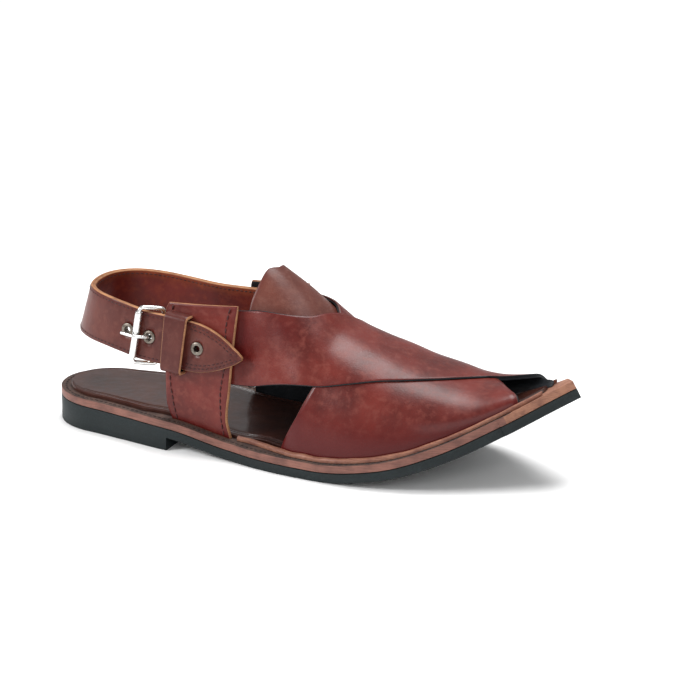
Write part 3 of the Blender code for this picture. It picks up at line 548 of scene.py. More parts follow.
class Tree:
    """Small helper that adds nodes to a tree and joins them."""

    def __init__(self, tree: bpy.types.NodeTree) -> None:
        """Keeps the tree."""
        self.tree = tree

    def add(self, kind: str, inputs: dict | None = None, **settings) -> bpy.types.Node:
        """New node.

        Args:
            kind: node type.
            inputs: socket name or number to a value or an output socket.
            settings: attributes of the node.

        Returns:
            The node.
        """
        node = self.tree.nodes.new(kind)
        for name, value in settings.items():
            setattr(node, name, value)
        self.feed(node, inputs or {})
        return node

    def feed(self, node: bpy.types.Node, inputs: dict) -> None:
        """Sets a node's inputs, or joins them to outputs.

        Args:
            node: node that is fed.
            inputs: socket name or number to a value or an output socket.
        """
        for name, value in inputs.items():
            if isinstance(value, bpy.types.NodeSocket):
                self.tree.links.new(value, node.inputs[name])
            else:
                node.inputs[name].default_value = value

    def math(self, operation: str, a: Fed, b: Fed = 0.0) -> Socket:
        """Output of a math node."""
        return self.add("ShaderNodeMath", {0: a, 1: b}, operation=operation).outputs[0]

    def noise(self, where: Socket, scale: float, detail: float = 3.0, rough: float = 0.55) -> Socket:
        """Height of a noise texture."""
        return self.add("ShaderNodeTexNoise", {"Vector": where, "Scale": scale, "Detail": detail,
                                               "Roughness": rough}).outputs[0]

    def mix(self, share: Fed, a: Fed, b: Fed) -> Socket:
        """Colour between two."""
        ends = [(*end, 1) if isinstance(end, tuple) else end for end in (a, b)]
        return self.add("ShaderNodeMix", {0: share, 6: ends[0], 7: ends[1]}, data_type="RGBA").outputs[2]

    def bump(self, height: Socket, depth: float, strength: float, more: dict | None = None) -> Socket:
        """Normal of a relief whose depth is in millimetres."""
        return self.add("ShaderNodeBump", {"Height": height, "Distance": depth * MM, "Strength": strength,
                                           **(more or {})}).outputs[0]

    def spread(self, value: Fed, low: float, high: float, to_low: float = 0.0,
               to_high: float = 1.0) -> Socket:
        """Value stretched from one range to another, kept inside it."""
        return self.add("ShaderNodeMapRange", {"Value": value, "From Min": low, "From Max": high,
                                               "To Min": to_low, "To Max": to_high}).outputs[0]


def blank_material(name: str) -> tuple[bpy.types.Material, Tree, bpy.types.Node, Socket]:
    """New material with its tree, shader and object coordinates.

    Args:
        name: name of the finish.

    Returns:
        The material, its tree, its shader and the coordinates.
    """
    made = bpy.data.materials.new(name)
    made.use_nodes = True
    tree = Tree(made.node_tree)
    shader = made.node_tree.nodes["Principled BSDF"]
    where = tree.add("ShaderNodeTexCoord").outputs["Object"]
    return made, tree, shader, where


@dataclass(frozen=True)
class Leather:
    """Dyed and polished leather, with pores, cloudy dye, and darker places read from a painted attribute:
    burnished edges and, on some pieces, painted shade.
    """

    name: str
    middle: Colour
    dark: Colour
    light: Colour
    # Colour that the painted attribute mixes towards: burnished edges and, on some pieces, painted shade
    burnish: Colour
    roughness: float = 0.38
    uneven: float = 0.10
    coat: float = 0.13
    gloss: float = 0.20
    coat_roughness: float = 0.24
    cloud: float = 38.0
    pore: float = 1500.0
    pore_depth: float = 0.05
    wave_depth: float = 0.35
    shade: str = "burnish"

    def build(self) -> bpy.types.Material:
        """Material of the finish.

        Returns:
            The new material.
        """
        made, tree, shader, where = blank_material(self.name)
        cloud = tree.noise(where, self.cloud, 4.0)
        speck = tree.noise(where, self.cloud * 7, 3.0)
        fine = tree.noise(where, self.pore * 0.6, 3.0, 0.7)
        colour = tree.mix(tree.spread(cloud, 0.38, 0.62), self.dark, self.middle)
        colour = tree.mix(tree.spread(speck, 0.48, 0.72, 0, 0.55), colour, self.light)
        # Painted attribute of burnished edges and, on some pieces, painted shade
        shade = tree.add("ShaderNodeAttribute", attribute_name=self.shade).outputs["Fac"]
        blur = tree.math("ADD", shade, tree.math("MULTIPLY", tree.math("SUBTRACT", speck, 0.5), 0.25))
        colour = tree.mix(tree.spread(blur, 0.05, 0.95), colour, self.burnish)
        colour = tree.mix(tree.spread(fine, 0.35, 0.75, 0, 0.16), colour, self.dark)
        cells = tree.add("ShaderNodeTexVoronoi", {"Vector": where, "Scale": self.pore},
                         feature="SMOOTH_F1").outputs["Distance"]
        waves = tree.noise(where, 130.0, 2.0)
        wavy = tree.bump(waves, self.wave_depth, 0.35)
        grain = tree.bump(tree.math("ADD", cells, fine), self.pore_depth, 0.8, {"Normal": wavy})
        rough = tree.spread(speck, 0.3, 0.7, self.roughness - self.uneven / 2,
                            self.roughness + self.uneven / 2)
        tree.feed(shader, {"Base Color": colour, "Roughness": rough, "Normal": grain,
                           "Specular IOR Level": self.gloss, "Coat Weight": self.coat,
                           "Coat Roughness": self.coat_roughness})
        return made


@dataclass(frozen=True)
class RawEdge:
    """Cut or scraped leather: short fibres, uneven dye, no gloss."""

    name: str
    middle: Colour
    dark: Colour
    roughness: float = 0.75
    fibre: float = 900.0
    stretch: Colour = (0.25, 1.0, 3.0)
    depth: float = 0.15

    def build(self) -> bpy.types.Material:
        """Material of the finish.

        Returns:
            The new material.
        """
        made, tree, shader, where = blank_material(self.name)
        scaled = tree.add("ShaderNodeMapping", {"Vector": where, "Scale": self.stretch}).outputs[0]
        layers = tree.noise(scaled, self.fibre, 4.0, 0.65)
        cloud = tree.noise(where, 120.0, 3.0)
        colour = tree.mix(tree.spread(tree.math("ADD", layers, cloud), 0.8, 1.2), self.dark, self.middle)
        tree.feed(shader, {"Base Color": colour, "Roughness": self.roughness,
                           "Normal": tree.bump(layers, self.depth, 0.7)})
        return made


@dataclass(frozen=True)
class Rubber:
    """Moulded black rubber, dusty where it is rubbed, with a fine tread below."""

    name: str = "black_rubber"
    middle: Colour = (0.0035, 0.0075, 0.0085)
    dusty: Colour = (0.016, 0.024, 0.026)
    grain_depth: float = 0.08
    gloss: float = 0.3

    def build(self) -> bpy.types.Material:
        """Material of the finish.

        Returns:
            The new material.
        """
        made, tree, shader, where = blank_material(self.name)
        cloud = tree.noise(where, 60.0, 5.0, 0.7)
        fine = tree.noise(where, 1300.0, 3.0, 0.7)
        dust = tree.spread(tree.math("ADD", cloud, fine), 0.95, 1.35, 0, 0.8)
        tree.feed(shader, {"Base Color": tree.mix(dust, self.middle, self.dusty),
                           "Roughness": tree.spread(cloud, 0.3, 0.7, 0.48, 0.66),
                           "Normal": tree.bump(fine, self.grain_depth, 0.6),
                           "Specular IOR Level": self.gloss})
        return made


@dataclass(frozen=True)
class Metal:
    """Plated metal with fine scratches."""

    name: str
    colour: Colour
    tarnish: Colour
    roughness: float
    scratch_depth: float = 0.01

    def build(self) -> bpy.types.Material:
        """Material of the finish.

        Returns:
            The new material.
        """
        made, tree, shader, where = blank_material(self.name)
        cloud = tree.noise(where, 400.0, 4.0)
        scratch = tree.noise(tree.add("ShaderNodeMapping", {"Vector": where, "Scale": (1, 1, 14)}).outputs[0],
                             1800.0, 2.0)
        worn = tree.spread(cloud, 0.5, 0.7, 0, 0.7)
        rough = tree.spread(cloud, 0.3, 0.7, self.roughness * 0.8, self.roughness * 1.3)
        tree.feed(shader, {"Base Color": tree.mix(worn, self.colour, self.tarnish), "Metallic": 1.0,
                           "Roughness": rough,
                           "Normal": tree.bump(scratch, self.scratch_depth, 0.4)})
        return made


@dataclass(frozen=True)
class Finishes:
    """All materials of the shoe."""

    upper: bpy.types.Material
    tongue: bpy.types.Material
    strap: bpy.types.Material
    strap_inside: bpy.types.Material
    lining: bpy.types.Material
    tan_edge: bpy.types.Material
    brown_edge: bpy.types.Material
    welt: bpy.types.Material
    toe_splice: bpy.types.Material
    ledge: bpy.types.Material
    rand: bpy.types.Material
    footbed: bpy.types.Material
    suede: bpy.types.Material
    rubber: bpy.types.Material
    steel: bpy.types.Material
    ring: bpy.types.Material
    red_thread: bpy.types.Material
    dark_thread: bpy.types.Material


def mix_finishes() -> Finishes:
    """Builds every material once.

    Returns:
        The finishes by name.
    """
    thread = dict(roughness=0.7, fibre=3000.0, stretch=EVEN)
    recipes = dict(
        upper=Leather("burgundy_leather", (0.132, 0.018, 0.013), (0.070, 0.008, 0.006),
                      (0.180, 0.042, 0.030), (0.075, 0.003, 0.003)),
        tongue=Leather("tongue_leather", (0.125, 0.036, 0.025), (0.085, 0.022, 0.016),
                       (0.165, 0.062, 0.045), (0.08, 0.010, 0.008), roughness=0.42),
        strap=Leather("strap_leather", (0.105, 0.025, 0.018), (0.066, 0.013, 0.010),
                      (0.140, 0.043, 0.031), (0.060, 0.010, 0.008), roughness=0.42),
        strap_inside=Leather("strap_inside_leather", (0.130, 0.012, 0.007), (0.075, 0.005, 0.003),
                             (0.200, 0.030, 0.012), (0.24, 0.060, 0.02), roughness=0.5, coat=0.05),
        lining=Leather("black_lining", (0.012, 0.014, 0.017), (0.006, 0.007, 0.009),
                       (0.024, 0.027, 0.032), (0.004, 0.004, 0.005), roughness=0.55, coat=0.05),
        tan_edge=RawEdge("tan_cut_edge", (0.38, 0.175, 0.074), (0.20, 0.08, 0.034)),
        brown_edge=RawEdge("brown_cut_edge", (0.115, 0.035, 0.028), (0.045, 0.012, 0.010), 0.6),
        welt=RawEdge("midsole_edge", (0.205, 0.080, 0.056), (0.105, 0.036, 0.025), 0.55, 500.0,
                     (0.12, 0.5, 4.0)),
        toe_splice=RawEdge("toe_splice", (0.300, 0.135, 0.080), (0.160, 0.062, 0.038), 0.7),
        ledge=RawEdge("dark_ledge", (0.075, 0.038, 0.027), (0.022, 0.010, 0.008), 0.7, 700.0, EVEN),
        rand=RawEdge("rand_leather", (0.290, 0.125, 0.075), (0.150, 0.050, 0.032), 0.5),
        footbed=Leather("footbed_leather", (0.046, 0.012, 0.007), (0.022, 0.006, 0.004),
                        (0.070, 0.024, 0.015), (0.010, 0.004, 0.003), roughness=0.34, coat=0.45,
                        coat_roughness=0.11, wave_depth=0.5, pore_depth=0.015, gloss=0.22),
        suede=RawEdge("tan_flesh", (0.40, 0.20, 0.085), (0.26, 0.115, 0.05), 0.9, 1400.0, EVEN),
        rubber=Rubber(),
        steel=Metal("bright_steel", (0.72, 0.72, 0.71), (0.50, 0.49, 0.48), 0.24),
        ring=Metal("eyelet_metal", (0.20, 0.175, 0.15), (0.07, 0.055, 0.04), 0.42),
        red_thread=RawEdge("red_thread", (0.062, 0.007, 0.006), (0.024, 0.003, 0.003), **thread),
        dark_thread=RawEdge("dark_thread", (0.040, 0.018, 0.014), (0.012, 0.005, 0.004), **thread),
    )
    return Finishes(**{word: recipe.build() for word, recipe in recipes.items()})


def finish_piece(piece: bpy.types.Object, slot: str, replaced: tuple[str, ...],
                 *materials: bpy.types.Material) -> bpy.types.Object:
    """Dresses a piece, hangs it under the root body and hides the solids that it stands for.

    Args:
        piece: finished mesh object.
        slot: not used.
        replaced: solids that it stands for.
        materials: one for each material slot of the mesh.

    Returns:
        The same piece.
    """
    slots = [face.material_index for face in piece.data.polygons]
    piece.data.materials.clear()
    for made in materials:
        piece.data.materials.append(made)
    piece.data.polygons.foreach_set("material_index", slots)
    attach(piece, "root")
    if replaced:
        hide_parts(*replaced)
    LOG.info("%s: %d faces", piece.name, len(piece.data.polygons))
    return piece


@dataclass
class StitchRow:
    """Row of thread stitches along a line, laid out by Geometry Nodes."""

    name: str
    pitch: float = 2.6 * MM
    length: float = 1.9 * MM
    radius: float = 0.32 * MM
    flat: float = 0.7
    wobble: float = 0.10
    seed: int = 4
    lines: list[Array] = field(default_factory=list)

    def build_tree(self, thread: bpy.types.Material) -> bpy.types.NodeTree:
        """Tree that sets a short rounded stitch at every step of the line.

        Args:
            thread: material of the thread.

        Returns:
            The new node group.
        """
        group = bpy.data.node_groups.new(self.name + "_tree", "GeometryNodeTree")
        face = group.interface
        face.new_socket("Geometry", in_out="INPUT", socket_type="NodeSocketGeometry")
        for word in ("Pitch", "Length", "Radius", "Flat", "Wobble"):
            face.new_socket(word, in_out="INPUT", socket_type="NodeSocketFloat")
        face.new_socket("Seed", in_out="INPUT", socket_type="NodeSocketInt")
        face.new_socket("Geometry", in_out="OUTPUT", socket_type="NodeSocketGeometry")
        tree = Tree(group)
        given = tree.add("NodeGroupInput").outputs
        curve = tree.add("GeometryNodeMeshToCurve", {0: given["Geometry"]}).outputs[0]
        even = tree.add("GeometryNodeResampleCurve", {"Curve": curve, "Length": given["Pitch"]},
                        mode="LENGTH").outputs[0]
        ball = tree.add("GeometryNodeMeshUVSphere", {"Segments": 6, "Rings": 5, "Radius": 1.0}).outputs[0]
        tangent = tree.add("GeometryNodeInputTangent").outputs[0]
        turn = tree.add("FunctionNodeRandomValue", {2: tree.math("MULTIPLY", given["Wobble"], -1.0),
                                                    3: given["Wobble"], "Seed": given["Seed"]},
                        data_type="FLOAT").outputs[1]
        tilt = tree.add("ShaderNodeCombineXYZ", {2: turn}).outputs[0]
        leaned = tree.add("ShaderNodeVectorMath", {0: tangent, 1: tilt}, operation="ADD").outputs[0]
        aim = tree.add("FunctionNodeAlignRotationToVector", {"Vector": leaned}, axis="X").outputs[0]
        size = tree.add("ShaderNodeCombineXYZ", {
            0: tree.math("MULTIPLY", given["Length"], 0.5), 1: given["Radius"],
            2: tree.math("MULTIPLY", given["Radius"], given["Flat"])}).outputs[0]
        placed = tree.add("GeometryNodeInstanceOnPoints", {"Points": even, "Instance": ball,
                                                           "Rotation": aim, "Scale": size}).outputs[0]
        real = tree.add("GeometryNodeRealizeInstances", {0: placed}).outputs[0]
        dyed = tree.add("GeometryNodeSetMaterial", {"Geometry": real, "Material": thread}).outputs[0]
        smooth = tree.add("GeometryNodeSetShadeSmooth", {"Geometry": dyed}).outputs[0]
        tree.add("NodeGroupOutput", {0: smooth})
        return group

    def build(self, thread: bpy.types.Material, slot: str) -> bpy.types.Object:
        """Stitches of all the lines as one plain mesh.

        Args:
            thread: material of the thread.
            slot: name of a material slot, handed on to finish_piece.

        Returns:
            The finished piece.
        """
        points = np.concatenate(self.lines) - CENTRE
        edges: list[tuple[int, int]] = []
        start = 0
        for line in self.lines:
            edges += [(start + k, start + k + 1) for k in range(len(line) - 1)]
            start += len(line)
        guide_mesh = bpy.data.meshes.new(self.name + "_guide")
        guide_mesh.from_pydata([tuple(map(float, p)) for p in points], edges, [])
        guide = place_object(self.name + "_guide", guide_mesh)
        step = guide.modifiers.new("stitches", "NODES")
        step.node_group = self.build_tree(thread)
        given = {"Pitch": self.pitch, "Length": self.length, "Radius": self.radius,
                 "Flat": self.flat, "Wobble": self.wobble, "Seed": self.seed}
        for item in step.node_group.interface.items_tree:
            if item.in_out == "INPUT" and item.name in given:
                step[item.identifier] = given[item.name]
        mesh = worked_mesh(guide)
        bpy.data.objects.remove(guide)
        mesh.name = self.name
        return finish_piece(place_object(self.name, mesh), slot, (), thread)


@dataclass
class SoleUnit:
    """Rubber unit, midsole, footbed and the strips along the vamp's foot."""

    last: Last
    bevel: float = 0.9 * MM
    splice_gap: float = 0.4 * MM
    insole_start: float = 5.3 * MM
    insole_end: float = 0.945
    footbed_dish: float = 0.35 * MM
    dish_at: float = 40 * MM
    dish_reach: float = 32 * MM
    rand_size: float = 2.2 * MM
    rand_start: float = 0.012
    rand_end: float = 0.925
    strap_step: float = 1.2 * MM
    stitch_inset: float = 2.6 * MM
    stitch_lift: float = 0.1 * MM

    def stations(self, start: float, end: float, steps: int) -> Array:
        """Stations from heel to toe, close together round the heel.

        Args:
            start: first place.
            end: last place.
            steps: number of places past the heel.

        Returns:
            The places in order.
        """
        turn = np.linspace(0, math.pi / 2, 17)[:-1]
        bend = self.last.heel_round
        back = bend - (bend - start) * np.cos(turn)
        return np.concatenate((back, np.linspace(bend, end, steps)))

    def slab(self, name: str, low: float, high: float, block: bool, soft: float,
             kinds: tuple[int, int]) -> bpy.types.Object:
        """Layer of the sole with rounded corners and its spliced toe.

        Args:
            name: name of the piece.
            low: height of its underside.
            high: height of its top.
            block: whether it has the heel block.
            soft: radius of its long edges.
            kinds: material slots of the body and of the toe splice.

        Returns:
            The new object.
        """
        last = self.last
        x = self.stations(-last.heel_overhang, last.length, 96)
        patch = last.length - last.patch_length
        ahead = patch + self.splice_gap
        splice = [s for s in x if s < patch] + [patch, ahead] + [s for s in x if s > patch + MM]
        spans = [(s, s >= ahead) for s in splice]
        if block:
            breast = last.heel_breast
            spans = [(s, f) for s, f in spans if s < breast] + [(breast, False), (breast, None)] + [
                (s, f) for s, f in spans if s > breast]
        rings = []
        heel = True
        for s, toe in spans:
            heel = heel and toe is not None
            rings.append(self.slab_ring(s, low, high, -last.patch_step if toe else 0.0,
                                        soft, block and heel))
        made = loft(name, np.array(rings))
        if kinds[1] != kinds[0]:
            for face in made.data.polygons:
                if face.center.x + CENTRE[0] > patch - 0.2 * MM:
                    face.material_index = kinds[1]
                elif face.normal.z > 0.8:
                    face.material_index = kinds[1] + 1
        return made

    def slab_ring(self, x: float, low: float, high: float, inset: float, soft: float,
                  block: bool) -> list:
        """Section of a layer: underside, rounded lower corner, side and rounded upper corner.

        Args:
            x: place of the section.
            low: height of the layer's underside.
            high: height of its top.
            inset: distance in from the outline.
            soft: radius of the lower corner.
            block: whether the heel block carries it to the ground.

        Returns:
            The points round the section.
        """
        last = self.last
        flat = 0.35 * soft
        ring = []
        for side in (Side.MEDIAL, Side.LATERAL):
            place = x
            if side is Side.MEDIAL:
                place = x - last.toe_skew * float(ramp(0.80 * last.length, last.length, x))
            reach = max(float(last.half_width(place, side)) - inset, 0)
            points = []
            for angle in np.linspace(0, math.pi / 2, 4):
                out = max(reach - soft + soft * math.sin(angle), 0)
                up = soft - soft * math.cos(angle)
                px, pz = (place, up) if block else last.on_sole(place, low + up)
                points.append((float(px), side.value * out, float(pz)))
            for angle in np.linspace(0, math.pi / 2, 3):
                out = max(reach - flat + flat * math.cos(angle), 0)
                px, pz = last.on_sole(place, high - flat + flat * math.sin(angle))
                points.append((float(px), side.value * out, float(pz)))
            ring += points if side is Side.MEDIAL else points[::-1]
        return ring

    def insole_half(self, x: Array, side: Side) -> Array:
        """Half width of the footbed.

        Args:
            x: places along the shoe.
            side: side of the shoe.

        Returns:
            One half width a place.
        """
        last = self.last
        free = last.half_width(x, side) - last.ledge + last.clearance
        place, _ = last.on_sole(x, last.seat_height)
        beside = np.maximum(2 * last.value("tuck", place) - 1, 0)
        walls = last.half(place, side) - 1.5 * last.clearance + last.quarter_standoff * beside
        walls -= last.insole * ramp(0.82 * last.length, 0.90 * last.length, x)
        return free + (np.minimum(walls, free) - free) * ramp(0.19 * last.length, 0.24 * last.length, x)

    def build_insole(self) -> bpy.types.Object:
        """Footbed with pressed ring lines near its edge and a slight dish under the heel.

        Returns:
            The new piece.
        """
        last = self.last
        start = self.insole_start - last.heel_overhang
        end = self.insole_end * last.length
        x = self.stations(start, end, 110)
        rings = []
        across = np.array((1.0, 0.965, 0.93, 0.918, 0.906, 0.88, 0.868, 0.856, 0.80, 0.65, 0.45, 0.22))
        groove = np.array((0.45, 0.06, 0.0, 0.30, 0.0, 0.0, 0.30, 0.0, 0.0, 0.0, 0.0, 0.0)) * MM
        for s in x:
            close = min((s - start) / (last.heel_round - start), 1)
            close = math.sqrt(max(1 - (1 - close) ** 2, 0))
            wide = [(side, float(self.insole_half(max(s, last.heel_round), side)) * close) for side in Side]
            dish = self.footbed_dish * bell(s, self.dish_at, self.dish_reach)
            heights = last.seat_height + last.insole - groove - dish * (1 - across ** 2)
            px, pz = last.on_sole(s, np.concatenate(([last.seat_height], heights)))
            shares = np.concatenate(([1.0], across))
            rows = [np.stack((px, side.value * shares * half, pz), axis=-1) for side, half in wide]
            rings.append(np.concatenate((rows[1], rows[0][::-1])))
        made = loft("insole_leather", np.array(rings), sharp=50)
        places = corners(made)
        # Darker in the middle of the footbed, under the vamp's straps: painted shade
        paint(made, "burnish", 0.35 * bell(places[:, 0], 150 * MM, 60 * MM))
        return made

    def build_rand(self, side: Side) -> bpy.types.Object:
        """Strip along the foot of the vamp, its upper edge uneven.

        Args:
            side: side of the shoe.

        Returns:
            The new piece.
        """
        last = self.last
        foot = QUARTER_EDGES[side][1][0]
        x = np.linspace(last.length * (foot + self.rand_start), last.length * self.rand_end, 120)
        base = last.point(x, np.full_like(x, side.value))
        normal = last.normal(x, np.full_like(x, side.value))
        normal[:, 2] = 0
        normal = unit(normal)
        stand = last.quarter_standoff - last.strap_wall
        near = last.strap_wall + stand * last.value("tuck", x) + last.clearance
        if side is Side.MEDIAL:
            near = near + self.strap_step * ramp(0.60 * last.length, 0.86 * last.length, x)
        rise = self.rand_size * (1 + 0.10 * ripple(base, 14 * MM, 3))
        rings = []
        for out, up in ((0, 0), (1, 0), (1.02, 0.5), (0.88, 0.86), (0.6, 1.0), (0, 1.0)):
            point = base + normal * (near + out * self.rand_size)[:, None]
            floor, _ = last.seat(point[:, 0])
            point[:, 2] = floor + up * rise
            rings.append(point)
        return loft("rand_%s_leather" % side.name.lower(), np.array(rings).transpose(1, 0, 2))

    def ledge_line(self, side: Side, inset: float, height: float) -> Array:
        """Line on the midsole's ledge at a distance from its edge.

        Args:
            side: side of the shoe.
            inset: distance in from the edge.
            height: height above the midsole.

        Returns:
            The points of the line.
        """
        last = self.last
        x = np.linspace(last.heel_round, last.length - last.patch_length - 2 * MM, 260)
        px, pz = last.on_sole(x, last.sole_top + height)
        return np.stack((px, side.value * (last.half_width(x, side) - inset), pz), axis=-1)

    def heel_line(self, inset: float, height: float) -> Array:
        """Line round the heel at a distance from the edge.

        Args:
            inset: distance in from the edge.
            height: height above the midsole.

        Returns:
            The points of the line.
        """
        last = self.last
        angle = np.linspace(-math.pi / 2, math.pi / 2, 80)
        bend = last.heel_round
        reach = bend + last.heel_overhang - inset
        x = bend - reach * np.cos(angle)
        wide = [float(last.half_width(bend, side)) - inset for side in Side]
        y = np.where(angle < 0, wide[0], wide[1]) * np.sin(angle)
        pz = last.underside(x) + last.sole_top + height
        return np.stack((x, y, pz), axis=-1)

    def build(self, looks: Finishes) -> None:
        """Builds and dresses the sole's pieces.

        Args:
            looks: the shoe's materials.
        """
        last = self.last
        unit_piece = self.slab("rubber_unit", 0, last.outsole, True, self.bevel, (0, 0))
        finish_piece(unit_piece, "rubber", ("outsole",), looks.rubber)
        layer = self.slab("midsole_layer", last.outsole + last.clearance, last.sole_top, False,
                          0.5 * MM, (0, 1))
        finish_piece(layer, "sole_leather", ("midsole",), looks.welt, looks.toe_splice, looks.ledge)
        finish_piece(self.build_insole(), "footbed", ("insole",), looks.footbed)
        for side in Side:
            finish_piece(self.build_rand(side), "rand_leather", ("rand_%s" % side.name.lower(),), looks.rand)
        lines = [self.ledge_line(side, self.stitch_inset, self.stitch_lift) for side in Side]
        lines.append(self.heel_line(self.stitch_inset, self.stitch_lift))
        StitchRow("welt_stitches", pitch=3.0 * MM, length=2.5 * MM, radius=0.55 * MM, seed=11,
                  lines=lines).build(looks.dark_thread, "sole_leather")


# Edges of the straps from the ankle end to the sole: place as a share of the length, turn round the last
REAR_ALONG = (0.00, 0.12, 0.25, 0.36, 0.45, 0.55, 0.66, 0.76, 0.88, 1.00)
REAR_AT = (0.352, 0.400, 0.458, 0.500, 0.532, 0.555, 0.560, 0.546, 0.520, 0.484)
REAR_ROUND = (-0.560, -0.485, -0.385, -0.250, 0.000, 0.170, 0.350, 0.560, 0.800, 1.000)
FRONT_ALONG = (0.00, 0.12, 0.25, 0.38, 0.50, 0.60, 0.70, 0.78, 0.85, 0.92, 1.00)
OVER_AT = (0.352, 0.415, 0.508, 0.587, 0.668, 0.742, 0.818, 0.882, 0.908, 0.918, 0.920)
OVER_ROUND = (-0.835, -0.797, -0.668, -0.539, -0.388, -0.225, 0.020, 0.080, 0.240, 0.560, 1.000)
UNDER_ALONG = (0.00, 0.12, 0.25, 0.38, 0.50, 0.60, 0.70, 0.79, 0.86, 0.93, 1.00)
UNDER_AT = (0.352, 0.415, 0.508, 0.587, 0.668, 0.742, 0.805, 0.838, 0.866, 0.886, 0.893)
UNDER_ROUND = (-0.835, -0.797, -0.668, -0.539, -0.388, -0.225, -0.080, 0.030, 0.290, 0.620, 1.000)
# Upper and lower end of the tongue round the last, as shares of the length
TONGUE_TURN = (-0.58, -0.44, -0.30, -0.13, 0.0, 0.13, 0.30, 0.44, 0.58)
TONGUE_REAR = (0.393, 0.397, 0.405, 0.412, 0.424, 0.421, 0.411, 0.397, 0.393)
TONGUE_FRONT = (0.520, 0.560, 0.585, 0.595, 0.600, 0.595, 0.585, 0.560, 0.520)


@dataclass(frozen=True)
class Crease:
    """Soft trough or ridge: place and turn round the last, reach in both, and height."""

    at: float
    turn: float
    long: float
    round: float
    height: float


CREASES = (
    Crease(0.392, -0.62, 0.018, 0.20, -1.1 * MM),
    Crease(0.430, -0.50, 0.026, 0.22, 0.5 * MM),
    Crease(0.500, -0.46, 0.022, 0.20, -0.5 * MM),
    Crease(0.640, -0.30, 0.060, 0.16, 0.35 * MM),
    Crease(0.760, -0.62, 0.060, 0.12, -0.45 * MM),
    Crease(0.600, 0.50, 0.030, 0.22, -0.5 * MM),
)


